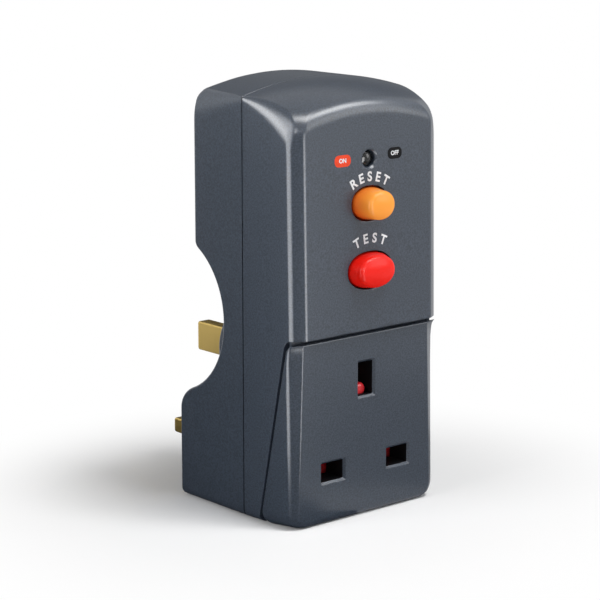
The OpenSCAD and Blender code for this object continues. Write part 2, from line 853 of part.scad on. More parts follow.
module test_button() color("red")
    translate([0, 0, test_z]) button(test_w, test_h, test_front, test_stem_r, test_stem_end);

// Return spring round a button's stem, between its flange and the plate
module stem_spring(stem_r, z)
    tube_y(stem_r + run_gap, stem_r + run_gap + spring_wire, flange_back, plate_front, 0, z);

module reset_spring() color("silver")
    stem_spring(reset_stem_r, reset_z);

module test_spring() color("silver")
    stem_spring(test_stem_r, test_z);

module test_bridge() color("goldenrod")
    block(
        [-3.4, test_stem_end, test_z - 1.4],
        [3.4, test_stem_end + bridge_t, test_z + 1.4]
    );

module test_pads() color("goldenrod")
    both_sides() rod_y(1, datum_y - pad_t, datum_y, 2.4, test_z);

module status_window() color("gainsboro", 0.6) {
    rod_y(window_d / 2, face_y(window_z) + 0.4, front_in + cut / 2, 0, window_z);
    rod_y(lens_flange_r, front_in, front_in + lens_flange_t, 0, window_z);
}

// Wedge of the drum that holds the coloured band, turned down from the window at rest
module band_sector(r_in, r_out, half_len)
    rotate([-drum_turn, 0, 0]) rotate([90, 0, 90])
        translate([0, 0, -half_len]) linear_extrude(2 * half_len)
            intersection() {
                difference() {
                    circle(r_out);
                    circle(r_in);
                }
                polygon([[0, 0], [-2 * r_out, 1.4 * r_out], [-2 * r_out, -1.4 * r_out]]);
            }

module status_drum() color("black")
    difference() {
        union() {
            rod_x(drum_r, -drum_len / 2, drum_len / 2, drum_y, window_z);
            rod_x(trunnion_r, -fork_x - rib_t, rib_x + rib_t, drum_y, window_z);
            rod_x(crank_pin_r, drum_len / 2 - cut, fork_x + fork_t, crank_y, crank_z);
        }
        translate([0, drum_y, window_z]) band_sector(drum_r - 0.8, drum_r + cut, drum_len / 2 - 0.6);
    }

module status_band() color("orangered")
    translate([0, drum_y, window_z])
        band_sector(drum_r - 0.8 + seat_gap, drum_r, drum_len / 2 - 0.6 - seat_gap);

// Blade of a pin with a chamfered tip, centred on the origin of X and Z
module blade(w, h, y0, y1) {
    intersection() {
        along_x(-w, w) polygon([
            [y0, -h / 2], [y1 - pin_tip, -h / 2], [y1, pin_tip * 0.6 - h / 2],
            [y1, h / 2 - pin_tip * 0.6], [y1 - pin_tip, h / 2], [y0, h / 2]
        ]);
        translate([0, 0, -h]) linear_extrude(2 * h) polygon([
            [-w / 2, y0], [-w / 2, y1 - pin_tip], [pin_tip * 0.6 - w / 2, y1],
            [w / 2 - pin_tip * 0.6, y1], [w / 2, y1 - pin_tip], [w / 2, y0]
        ]);
    }
}

module earth_pin() color("goldenrod")
    translate([0, 0, earth_z]) {
        blade(earth_w, earth_h, flange_in + cut, plug_d + earth_len);
        block(
            [-earth_w / 2 - pin_flange_lap, flange_in, -earth_h / 2 - pin_flange_lap],
            [earth_w / 2 + pin_flange_lap, plug_in, earth_h / 2 + pin_flange_lap]
        );
        block([-earth_w / 2 + 0.4, earth_web_y + clip_t, -2.5], [earth_w / 2 - 0.4, flange_in + cut, 2.5]);
    }

// Sleeved pin, centred on the origin of X and Z
module sleeved_pin() {
    neck_w = pin_w - 2 * sleeve_t;
    neck_h = pin_h - 2 * sleeve_t;
    blade(pin_w, pin_h, plug_d + sleeve_len, plug_d + pin_len);
    block([-neck_w / 2, flange_in, -neck_h / 2], [neck_w / 2, plug_d + sleeve_len + cut, neck_h / 2]);
    block(
        [-pin_w / 2 - 1, flange_in, -pin_h / 2 - pin_flange_lap],
        [pin_w / 2 + 1, plug_in, pin_h / 2 + pin_flange_lap]
    );
    block([-2, lug_y + bar_t, -1.5], [2, flange_in + cut, 1.5]);
}

module live_pin() color("goldenrod") translate([pin_x, 0, pin_z]) sleeved_pin();

module neutral_pin() color("goldenrod") translate([-pin_x, 0, pin_z]) sleeved_pin();

module sleeve()
    along_y(plug_in, plug_d + sleeve_len)
        difference() {
            square([pin_w, pin_h], center = true);
            square([pin_w - 2 * (sleeve_t - seat_gap), pin_h - 2 * (sleeve_t - seat_gap)], center = true);
        }

module live_sleeve() color("black") translate([pin_x, 0, pin_z]) sleeve();

module neutral_sleeve() color("black") translate([-pin_x, 0, pin_z]) sleeve();

// Clip whose two leaves lie above and below a pin, centred on the origin of X and Z
module line_clip() {
    leaf_y = bar_front;
    for (way = [0, 1])
        mirror([0, 0, way])
            block(
                [-clip_half, clip_front, clip_gap / 2],
                [clip_half, leaf_y + cut / 2, clip_gap / 2 + clip_t]
            );
    block([-clip_half, leaf_y, -clip_web_h], [clip_half, datum_y, clip_web_h]);
}

module live_clip() color("goldenrod") translate([pin_x, 0, pin_z]) line_clip();

module neutral_clip() color("goldenrod") translate([-pin_x, 0, pin_z]) line_clip();

module earth_clip() color("goldenrod")
    translate([0, 0, earth_z]) {
        both_sides() block(
            [clip_gap / 2, clip_front, -earth_leaf_h / 2],
            [clip_gap / 2 + clip_t, earth_web_y + clip_t, earth_leaf_h / 2]
        );
        block(
            [-clip_gap / 2 - clip_t, earth_web_y, -earth_leaf_h / 2],
            [clip_gap / 2 + clip_t, earth_web_y + clip_t, earth_leaf_h / 2]
        );
    }

module contact_carrier() color("dimgray")
    difference() {
        block([-carrier_half, datum_y, carrier_low], [carrier_half, carrier_back, carrier_top]);
        block(
            [-clip_gap / 2 - clip_t - run_gap, datum_y - cut, earth_z - earth_leaf_h / 2 - run_gap],
            [clip_gap / 2 + clip_t + run_gap, carrier_back + cut, earth_z + earth_leaf_h / 2 + run_gap]
        );
        both_sides() rod_y(carrier_screw_r + pin_fit, datum_y - cut, carrier_back + cut, post_x, post_z);
    }

module carrier_screws() color("silver")
    both_sides() {
        rod_y(carrier_screw_r, datum_y - carrier_screw_len, carrier_back + cut, post_x, post_z);
        rod_y(carrier_head_r, carrier_back, carrier_back + carrier_head_h, post_x, post_z);
    }

// Bar from a plug pin up the side of the case to the supply contact
module supply_bar() {
    block([strip_in, bar_front, lug_z], [strip_out, datum_y, supply_z + bar_half]);
    block(
        [contact_x - bar_half, bar_front, supply_z - bar_half],
        [strip_out, datum_y, supply_z + bar_half]
    );
    block([strip_in, bar_front, lug_z], [strip_in + bar_t, lug_y + bar_t, lug_top]);
    block([pin_x - 2, lug_y, lug_z], [strip_in + bar_t, lug_y + bar_t, lug_top]);
}

module live_supply_bar() color("peru") supply_bar();

module neutral_supply_bar() color("peru") mirror([1, 0, 0]) supply_bar();

// Bar from the load contact through the toroid and down to a socket clip
module load_bar() {
    front = toroid_y - through_half;
    back = toroid_y + through_half;
    out_x = contact_x + bar_half;
    in_x = contact_x - bar_half;
    block([in_x, bar_front, shelf_z], [out_x, datum_y, load_z + bar_half]);
    block([in_x, front, shelf_z], [out_x, datum_y, shelf_z + bar_t]);
    block([through_x, front, shelf_z], [out_x, back, shelf_z + bar_t]);
    block([through_x, front, tray_z], [through_x + bar_t, back, shelf_z + bar_t]);
    block([through_x, front, tray_z], [drop_out, back, tray_z + bar_t]);
    block([drop_in, front, tray_z], [drop_out, datum_y, tray_z + bar_t]);
    block([drop_in, bar_front, pin_z + clip_web_h], [drop_out, datum_y, tray_z + bar_t]);
    block([drop_in, bar_front, pin_z + clip_web_h], [pin_x, datum_y, pin_z + clip_web_h + bar_w]);
}

module live_load_bar() color("peru") load_bar();

module neutral_load_bar() color("peru") mirror([1, 0, 0]) load_bar();

module fixed_contacts() color("silver")
    both_sides()
        for (z = [load_z, supply_z])
            rod_y(rivet_r, fixed_front, bar_front, contact_x, z);

// Bridge that joins the load and supply contacts of one pole
module bridge() {
    block(
        [contact_x - bar_half, carriage_back, load_z - rivet_r],
        [contact_x + bar_half - cut, carriage_back + bar_t, supply_z + rivet_r]
    );
    for (z = [load_z, supply_z])
        rod_y(rivet_r - 0.2, carriage_back + bar_t / 2, moving_back, contact_x - cut / 2, z);
}

module live_bridge() color("peru") bridge();

module neutral_bridge() color("peru") mirror([1, 0, 0]) bridge();

module contact_carriage() color("ivory")
    difference() {
        union() {
            block(
                [-carriage_half, carriage_front, reset_z - carriage_rise],
                [carriage_half, carriage_back, reset_z + carriage_rise]
            );
            flag_fork();
            block(
                [lever_right + run_gap, carriage_front, reset_z],
                [lever_right + run_gap + 2.5, carriage_front + 2, lever_low + 1.6]
            );
        }
        both_sides() rod_y(guide_r + pin_fit, carriage_front - cut, carriage_back + cut, guide_x, reset_z);
    }

// Arm on the carriage whose fork moves the status drum's crank pin
module flag_fork() {
    slot_half = crank_pin_r + run_gap;
    block([fork_x, carriage_front, reset_z], [fork_x + fork_t, carriage_front + 2.5, arm_z + arm_h]);
    block(
        [fork_x, crank_y - slot_half - prong_t, arm_z],
        [fork_x + fork_t, carriage_front + 2.5, arm_z + arm_h]
    );
    for (y = [crank_y - slot_half - prong_t, crank_y + slot_half])
        block([fork_x, y, arm_z], [fork_x + fork_t, y + prong_t, prong_top]);
}

module carriage_springs() color("silver")
    both_sides()
        tube_y(guide_r + 0.2, guide_r + 0.2 + spring_wire, carriage_back, guide_base_y, guide_x, reset_z);

// Frame on the board: guide posts for the carriage, cheeks and the plate that guides the buttons' stems
module mechanism_frame() color("ivory") {
    block(
        [-guide_x - 2.8, guide_base_y, reset_z - carriage_rise],
        [guide_x + 2.8, datum_y, reset_z + carriage_rise]
    );
    both_sides() rod_y(guide_r, carriage_front + 0.4, guide_base_y + cut, guide_x, reset_z);
    both_sides() block(
        [cheek_in, plate_front, plate_low],
        [cheek_in + cheek_t, datum_y, reset_z + web_rise]
    );
    block(
        [-cheek_in - cut, guide_base_y, reset_z - web_rise],
        [cheek_in + cut, datum_y, reset_z + web_rise]
    );
    difference() {
        block([-cheek_in - cut, plate_front, plate_low], [cheek_in + cut, plate_back, plate_top]);
        rod_y(reset_stem_r + run_gap, plate_front - cut, plate_back + cut, 0, reset_z);
        rod_y(test_stem_r + run_gap, plate_front - cut, plate_back + cut, 0, test_z);
    }
}

module circuit_board() color("darkgreen")
    difference() {
        block([-board_half, datum_y, board_low], [board_half, board_back, board_top]);
        both_sides()
            for (place = board_screws_at)
                rod_y(board_screw_r + 0.2, datum_y - cut, board_back + cut, place.x, place.y);
    }

module board_screws() color("silver")
    both_sides()
        for (place = board_screws_at) {
            rod_y(board_screw_r, datum_y - cut, board_back + board_screw_len, place.x, place.y);
            rod_y(board_head_r, datum_y - board_head_h, datum_y, place.x, place.y);
        }

module toroid_core() color("darkslategray")
    translate([0, toroid_y, toroid_z])
        difference() {
            cylinder(r = core_r, h = core_h);
            translate([0, 0, -cut]) cylinder(r = core_hole_r, h = core_h + 2 * cut);
        }

// Winding wrapped round the core, left open at the front where its ends leave
module toroid_winding() color("peru")
    translate([0, toroid_y, toroid_z]) rotate(-60)
        rotate_extrude(angle = 300)
            difference() {
                translate([core_hole_r - winding_t, -winding_t])
                    square([core_r - core_hole_r + 2 * winding_t, core_h + 2 * winding_t]);
                translate([core_hole_r - seat_gap, -seat_gap])
                    square([core_r - core_hole_r + 2 * seat_gap, core_h + 2 * seat_gap]);
            }

module solenoid_bracket() color("lightsteelblue")
    difference() {
        union() {
            block(
                [pivot_x - hub_r, datum_y - bracket_t, coil_z - bobbin_r],
                [bobbin_x1 + bracket_t, datum_y, pivot_z + 1.4]
            );
            for (x = [bobbin_x0 - bracket_t, bobbin_x1])
                block(
                    [x, coil_y - bobbin_r, coil_z - bobbin_r],
                    [x + bracket_t, datum_y, coil_z + bobbin_r]
                );
        }
        rod_x(rod_r + run_gap, bobbin_x0 - 2 * bracket_t, bobbin_x0 + cut, coil_y, coil_z);
    }

module coil_bobbin() color("ivory")
    difference() {
        union() {
            rod_x(bore_r + bobbin_wall, bobbin_x0, bobbin_x1, coil_y, coil_z);
            rod_x(bobbin_r, bobbin_x0, bobbin_x0 + bobbin_wall, coil_y, coil_z);
            rod_x(bobbin_r, bobbin_x1 - bobbin_wall, bobbin_x1, coil_y, coil_z);
        }
        rod_x(bore_r, bobbin_x0 - cut, bobbin_x1 + cut, coil_y, coil_z);
    }

module trip_coil() color("peru")
    difference() {
        rod_x(coil_r, bobbin_x0 + bobbin_wall, bobbin_x1 - bobbin_wall, coil_y, coil_z);
        rod_x(bore_r + bobbin_wall + seat_gap, bobbin_x0, bobbin_x1, coil_y, coil_z);
    }

module trip_plunger() color("silver") {
    rod_x(bore_r - run_gap, armature_x, bobbin_x1 - 1, coil_y, coil_z);
    rod_x(rod_r, rod_end, armature_x + cut, coil_y, coil_z);
}

module plunger_spring() color("silver")
    difference() {
        rod_x(bore_r - run_gap, bobbin_x0, armature_x, coil_y, coil_z);
        rod_x(rod_r + pin_fit, bobbin_x0 - cut, armature_x + cut, coil_y, coil_z);
    }

module latch_lever() color("lightsteelblue")
    difference() {
        union() {
            rod_y(hub_r, lever_front, lever_back, pivot_x, pivot_z);
            block([lever_right - lever_w, lever_front, lever_low], [lever_right, lever_back, pivot_z]);
        }
        rod_y(latch_pin_r + pin_fit, lever_front - cut, lever_back + cut, pivot_x, pivot_z);
    }

module latch_pin() color("silver") {
    rod_y(latch_pin_r, lever_front - run_gap - cut, datum_y - bracket_t, pivot_x, pivot_z);
    rod_y(latch_collar_r, lever_front - run_gap - cut, lever_front - run_gap, pivot_x, pivot_z);
    rod_y(latch_collar_r, lever_back + run_gap, datum_y - bracket_t, pivot_x, pivot_z);
}

module latch_spring() color("silver")
    translate([pivot_x, 0, pivot_z]) tube_y(
        latch_collar_r + pin_fit, latch_collar_r + latch_spring_t,
        lever_back + run_gap, datum_y - bracket_t, 0, 0
    );

module control_chip() color("black")
    translate([0, board_back, reset_z - chip_drop])
        block([-chip_w / 2, 0, -chip_h / 2], [chip_w / 2, chip_t, chip_h / 2]);

module varistor() color("royalblue")
    translate([varistor_side - board_half, board_back, board_top - varistor_drop])
        rod_y(varistor_r, 0, varistor_t, varistor_r, -varistor_r);

module capacitor() color("khaki")
    translate([board_half - 1.6, board_back, board_top - 1.5])
        block([-capacitor_w, 0, -capacitor_h], [0, capacitor_t, 0]);

module test_resistor() color("tan")
    rod_x(resistor_r, -resistor_w / 2, resistor_w / 2, board_back + resistor_r, test_z);

module case_screws() color("silver")
    case_screw_places(head_seat_y) {
        rod_y(screw_r, -screw_len, cut, 0, 0);
        difference() {
            rod_y(head_r, 0, screw_head_h, 0, 0);
            for (turn = [0, 90])
                rotate([0, turn, 0]) block(
                    [-cross_reach, screw_head_h - cross_d, -cross_half],
                    [cross_reach, screw_head_h + cut, cross_half]
                );
        }
    }

rear_shell();
front_shell();
socket_cover();
shutter();
shutter_spring();
reset_button();
reset_spring();
test_button();
test_spring();
test_bridge();
test_pads();
status_window();
status_drum();
status_band();
earth_pin();
live_pin();
neutral_pin();
live_sleeve();
neutral_sleeve();
earth_clip();
live_clip();
neutral_clip();
contact_carrier();
live_supply_bar();
neutral_supply_bar();
live_load_bar();
neutral_load_bar();
fixed_contacts();
contact_carriage();
live_bridge();
neutral_bridge();
carriage_springs();
mechanism_frame();
circuit_board();
toroid_core();
toroid_winding();
solenoid_bracket();
coil_bobbin();
trip_coil();
trip_plunger();
plunger_spring();
latch_lever();
latch_pin();
latch_spring();
control_chip();
varistor();
capacitor();
test_resistor();
case_screws();
board_screws();
carrier_screws();
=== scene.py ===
import json
import math

import bmesh
import bpy
import numpy as np
from mathutils import Matrix, Vector


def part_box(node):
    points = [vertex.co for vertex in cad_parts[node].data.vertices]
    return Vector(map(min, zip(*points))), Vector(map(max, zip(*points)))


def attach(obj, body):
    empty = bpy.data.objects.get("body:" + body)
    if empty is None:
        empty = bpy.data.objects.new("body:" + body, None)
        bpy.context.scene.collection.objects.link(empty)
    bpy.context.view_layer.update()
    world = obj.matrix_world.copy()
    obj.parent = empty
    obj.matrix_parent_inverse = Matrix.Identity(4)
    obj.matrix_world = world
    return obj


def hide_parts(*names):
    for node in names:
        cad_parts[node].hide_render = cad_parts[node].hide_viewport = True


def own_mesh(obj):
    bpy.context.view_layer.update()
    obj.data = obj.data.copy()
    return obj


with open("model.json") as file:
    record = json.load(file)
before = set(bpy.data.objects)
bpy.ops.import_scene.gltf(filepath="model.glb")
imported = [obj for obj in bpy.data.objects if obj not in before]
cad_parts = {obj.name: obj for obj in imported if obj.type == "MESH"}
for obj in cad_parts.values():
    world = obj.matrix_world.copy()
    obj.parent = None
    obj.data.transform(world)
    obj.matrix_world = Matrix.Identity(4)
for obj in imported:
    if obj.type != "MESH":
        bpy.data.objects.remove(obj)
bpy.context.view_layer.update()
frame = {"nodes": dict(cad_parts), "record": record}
mm = 0.001
nodes = frame["nodes"]
slotOf = {part["node"]: part["material_slot"] for part in frame["record"]["subparts"]}
print("frame loaded:", len(nodes), "nodes")


def nodeBox(node):    # corners of a node in millimetres
    low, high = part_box(node)
    return np.array(low) / mm, np.array(high) / mm


def linkIn(obj):    # puts a new object in the scene
    bpy.context.scene.collection.objects.link(obj)


# Mesh tools, all in millimetres

def smoothStep(t):
    t = np.clip(t, 0, 1)
    return t * t * (3 - 2 * t)


def roundMax(a, b, r):    # the two solids' overlap, with its edge rounded by r
    return np.minimum(np.maximum(a, b), -r) + np.hypot(np.maximum(a + r, 0), np.maximum(b + r, 0))


def castRays(field, start, heading, reach=130.0, halvings=46):    # where rays from inside leave the solid
    near = np.zeros(np.broadcast(start[..., 0], heading[..., 0]).shape)
    far = np.full(near.shape, reach)
    for _ in range(halvings):
        mid = (near + far) / 2
        inside = field(start + heading * mid[..., None]) < 1e-7
        near = np.where(inside, mid, near)
        far = np.where(inside, far, mid)
    return start + heading * near[..., None]


def spans(*parts):    # evenly spaced values over several (first, last, count) stretches
    return np.concatenate([np.linspace(*part) for part in parts])


def quarterRows(r, count):    # heights round a quarter circle of radius r
    return list(r * (1 - np.cos(np.radians(np.linspace(0, 90, count)))))


def roundCorners(points, radii, steps=5):    # closed outline in 2-D with an arc at each corner
    pts = [np.array(p, float) for p in points]
    out = []
    for i, corner in enumerate(pts):
        toA = pts[i - 1] - corner
        toC = pts[(i + 1) % len(pts)] - corner
        lenA, lenC = np.linalg.norm(toA), np.linalg.norm(toC)
        toA, toC = toA / lenA, toC / lenC
        half = math.acos(np.clip(toA @ toC, -1, 1)) / 2
        trim = min(radii[i] / math.tan(half), 0.45 * min(lenA, lenC))    # stops short of a side's middle
        r = trim * math.tan(half)
        mid = (toA + toC) / np.linalg.norm(toA + toC)
        centre = corner + mid * r / math.sin(half)
        first, last = corner + toA * trim - centre, corner + toC * trim - centre
        turn = math.pi - 2 * half
        for k in range(steps + 1):
            blend = k / steps
            arm = math.sin((1 - blend) * turn) * first + math.sin(blend * turn) * last
            out.append(centre + arm / math.sin(turn))
    return np.array(out)


def flatRing(outline, y):    # an (x, z) outline as a ring across the Y axis
    return np.column_stack([outline[:, 0], np.full(len(outline), float(y)), outline[:, 1]])


def roundRect(w, h, r, x=0.0, z=0.0, steps=5):
    corners = [(x + a * w / 2, z + b * h / 2) for a, b in ((-1, -1), (1, -1), (1, 1), (-1, 1))]
    return roundCorners(corners, [r] * 4, steps)


def oval(w, h, x=0.0, z=0.0, power=2.0, steps=64):
    a = np.arange(steps) * 2 * math.pi / steps
    c, s = np.cos(a), np.sin(a)
    return np.column_stack([
        x + w / 2 * np.sign(c) * np.abs(c) ** (2 / power),
        z + h / 2 * np.sign(s) * np.abs(s) ** (2 / power),
    ])


def steppedBar(profile, x, z, steps=40):    # turned bar along Y from (y, radius) pairs
    return [flatRing(oval(2 * r, 2 * r, x, z, steps=steps), y) for y, r in profile]


def blockRings(low, high):
    outline = np.array([(low[0], low[2]), (high[0], low[2]), (high[0], high[2]), (low[0], high[2])], float)
    return [flatRing(outline, low[1]), flatRing(outline, high[1])]


def prismX(outline, x0, x1):    # (y, z) outline drawn along X
    outline = np.array(outline, float)
    return [np.column_stack([np.full(len(outline), float(x)), outline]) for x in (x0, x1)]


def bothSides(parts):
    mirrored = [[r * np.array([-1.0, 1.0, 1.0]) for r in rings] for rings in parts]
    return list(parts) + mirrored


def makeSolid(name, parts, looped=False):    # one mesh from several stacks of rings
    points, faces = [], []
    for rings in parts:
        base = len(points)
        count = len(rings[0])
        for r in rings:
            points.extend(r)
        turns = len(rings) if looped else len(rings) - 1
        for i in range(turns):
            j = (i + 1) % len(rings)
            for k in range(count):
                n = (k + 1) % count
                faces.append((base + i * count + k, base + i * count + n,
                              base + j * count + n, base + j * count + k))
        if not looped:
            faces.append(tuple(base + k for k in reversed(range(count))))
            faces.append(tuple(base + (len(rings) - 1) * count + k for k in range(count)))
    mesh = bpy.data.meshes.new(name)
    mesh.from_pydata([tuple(np.array(p) * mm) for p in points], [], faces)
    obj = bpy.data.objects.new(name, mesh)
    linkIn(obj)
    tidyMesh(obj)
    return obj


def tidyMesh(obj, gap=2e-6):    # merge doubled points, drop empty faces, face outwards
    bm = bmesh.new()
    bm.from_mesh(obj.data)
    bmesh.ops.remove_doubles(bm, verts=bm.verts, dist=gap)
    bmesh.ops.dissolve_degenerate(bm, edges=bm.edges, dist=gap / 2)
    bmesh.ops.recalc_face_normals(bm, faces=bm.faces)
    bm.to_mesh(obj.data)
    bm.free()


def finalMesh(obj):    # new mesh with the modifiers applied
    graph = bpy.context.evaluated_depsgraph_get()
    return bpy.data.meshes.new_from_object(obj.evaluated_get(graph))


def freeze(obj):    # apply the modifiers
    mesh, old = finalMesh(obj), obj.data
    obj.modifiers.clear()
    obj.data = mesh
    bpy.data.meshes.remove(old)


def carve(obj, name, parts, operation="DIFFERENCE", overlaps=False, looped=False):    # cut with a tool, or join it
    tool = makeSolid(name, parts, looped)
    change = obj.modifiers.new("carve", "BOOLEAN")
    change.operation = operation
    change.solver = "EXACT"
    change.use_self = overlaps
    change.object = tool
    freeze(obj)
    bpy.data.objects.remove(tool)


def edgeEnds(edge):
    return np.array([v.co for v in edge.verts]) / mm


def sharper(edge, degrees):
    return edge.calc_face_angle(0) > math.radians(degrees)


def onField(field, slack=0.03):    # picks edges that lie on the outer surface
    return lambda edge: bool(np.all(np.abs(field(edgeEnds(edge))) < slack))


def softenEdges(obj, chosen, width, steps=2):    # bevel the edges that chosen(edge) picks
    bm = bmesh.new()
    bm.from_mesh(obj.data)
    bmesh.ops.remove_doubles(bm, verts=bm.verts, dist=1e-6)
    bm.normal_update()
    picked = [e for e in bm.edges if len(e.link_faces) == 2 and chosen(e)]
    bmesh.ops.bevel(bm, geom=picked, offset=width * mm, segments=steps, profile=0.5,
                    affect="EDGES", clamp_overlap=True)
    bm.to_mesh(obj.data)
    bm.free()
    return len(picked)


def smoothShade(obj, angle=32):
    mesh = obj.data
    mesh.polygons.foreach_set("use_smooth", [True] * len(mesh.polygons))
    mesh.set_sharp_from_angle(angle=math.radians(angle))
    weighted = obj.modifiers.new("normals", "WEIGHTED_NORMAL")
    weighted.keep_sharp = True
    weighted.weight = 90
    freeze(obj)


def dress(obj, body, slot, *replaced, finish=None):    # finish, body and node of a new piece
    obj.data.materials.clear()
    obj.data.materials.append(finish or finishes[slot])
    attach(obj, body)
    if replaced:
        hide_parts(*replaced)
    print("piece:", obj.name, len(obj.data.polygons), "faces")


def paintShade(obj, inside):    # painted shade: a near-black finish on the faces that inside(middle, normal) picks
    obj.data.materials.append(paintedShadeBlack)
    for face in obj.data.polygons:
        if inside(np.array(face.center) / mm, face.normal):
            face.material_index = 1


# Finishes

def newFinish(name):
    finish = bpy.data.materials.new(name)
    finish.use_nodes = True
    tree = finish.node_tree
    return finish, tree, tree.nodes["Principled BSDF"]


def setInputs(node, values):    # constant values on a node's sockets
    for socket, value in values.items():
        node.inputs[socket].default_value = value


def addNode(tree, kind, values):
    node = tree.nodes.new("ShaderNode" + kind)
    setInputs(node, values)
    return node


def feed(node, socket, source):    # joins an output to a node's socket
    node.id_data.links.new(source, node.inputs[socket])


def objectPlace(tree):
    return addNode(tree, "TexCoord", {}).outputs["Object"]


def noiseNode(tree, scale, detail=2.0, stretch=(1, 1, 1)):
    place = addNode(tree, "Mapping", {"Scale": stretch})
    noise = addNode(tree, "TexNoise", {"Scale": scale, "Detail": detail})
    feed(place, "Vector", objectPlace(tree))
    feed(noise, "Vector", place.outputs["Vector"])
    return noise.outputs["Fac"]


def rampNode(tree, source, low, high, start=0.35, end=0.65):    # colours low to high across the source
    ramp = addNode(tree, "ValToRGB", {})
    for element, place, colour in zip(ramp.color_ramp.elements, (start, end), (low, high)):
        element.position = place
        element.color = (*colour, 1)
    feed(ramp, "Fac", source)
    return ramp.outputs["Color"]


def spanNode(tree, source, low, high, start=0.3, end=0.7):    # the source as a value from low to high
    span = addNode(tree, "MapRange", {"From Min": start, "From Max": end, "To Min": low, "To Max": high})
    feed(span, "Value", source)
    return span.outputs["Result"]


def bumpNode(tree, shader, source, strength, depth):
    bump = addNode(tree, "Bump", {"Strength": strength, "Distance": depth * mm})
    feed(bump, "Height", source)
    feed(shader, "Normal", bump.outputs["Normal"])


def shade(colour, factor):
    return tuple(min(1.0, c * factor) for c in colour)


def mouldedPlastic(name, colour, rough, grain, bump, contrast=0.1, gloss=0.5):
    finish, tree, shader = newFinish(name)
    setInputs(shader, {"Specular IOR Level": gloss})
    fine = noiseNode(tree, grain, 3.0)
    broad = noiseNode(tree, 60.0)
    feed(shader, "Base Color", rampNode(tree, fine, shade(colour, 1 - contrast), shade(colour, 1 + contrast)))
    feed(shader, "Roughness", spanNode(tree, broad, *rough))
    bumpNode(tree, shader, fine, bump, 0.05)
    return finish


def glossPlastic(name, colour, rough=(0.14, 0.22)):
    finish, tree, shader = newFinish(name)
    cloud = noiseNode(tree, 130.0, 3.0)
    fine = noiseNode(tree, 900.0)
    feed(shader, "Base Color", rampNode(tree, cloud, shade(colour, 0.93), shade(colour, 1.04)))
    feed(shader, "Roughness", spanNode(tree, fine, *rough))
    bumpNode(tree, shader, cloud, 0.05, 0.05)
    return finish


def paintedShadeButton(name, deep, litColour, front, middle):    # painted shade: colour goes from lit to the deep shaded tone behind the front and below, and it is less glossy there
    finish, tree, shader = newFinish(name)
    tilt = 0.3    # how much height counts beside depth
    lean = tree.nodes.new("ShaderNodeVectorMath")
    lean.operation = "DOT_PRODUCT"
    setInputs(lean, {1: (0, -1, tilt)})
    feed(lean, 0, objectPlace(tree))
    level = tilt * middle - front
    depth = spanNode(tree, lean.outputs["Value"], 0.0, 1.0, (level - 5.0) * mm, (level + 0.6) * mm)
    # painted shade: lit colour at the front and top, deep shaded colour further back and lower down
    feed(shader, "Base Color", rampNode(tree, depth, deep, litColour, 0.0, 1.0))
    feed(shader, "Specular IOR Level", spanNode(tree, depth, 0.02, 0.16, 0.75, 1.0))
    fine = noiseNode(tree, 900.0)
    feed(shader, "Roughness", spanNode(tree, fine, 0.2, 0.26))
    bumpNode(tree, shader, fine, 0.03, 0.05)
    return finish


def bareMetal(name, colour, rough):
    finish, tree, shader = newFinish(name)
    setInputs(shader, {"Metallic": 1.0})
    brushed = noiseNode(tree, 1800.0, 3.0, (1, 0.08, 1))
    stain = noiseNode(tree, 110.0, 3.0)
    feed(shader, "Base Color", rampNode(tree, stain, shade(colour, 0.95), shade(colour, 1.03)))
    feed(shader, "Roughness", spanNode(tree, brushed, *rough))
    bumpNode(tree, shader, brushed, 0.04, 0.01)
    return finish


def woundWire(name, colour):
    finish, tree, shader = newFinish(name)
    setInputs(shader, {"Metallic": 0.8})
    wave = addNode(tree, "TexWave", {"Scale": 700.0, "Distortion": 1.2})
    feed(wave, "Vector", objectPlace(tree))
    turns = wave.outputs["Fac"]
    feed(shader, "Base Color", rampNode(tree, turns, shade(colour, 0.55), colour))
    feed(shader, "Roughness", spanNode(tree, noiseNode(tree, 400.0), 0.3, 0.45))
    bumpNode(tree, shader, turns, 0.5, 0.1)
    return finish


def clearLens(name):
    finish, tree, shader = newFinish(name)
    setInputs(shader, {"Transmission Weight": 0.6, "IOR": 1.46, "Roughness": 0.02})
    cloud = noiseNode(tree, 300.0)
    feed(shader, "Base Color", rampNode(tree, cloud, (0.02, 0.021, 0.023), (0.03, 0.031, 0.033)))
    return finish


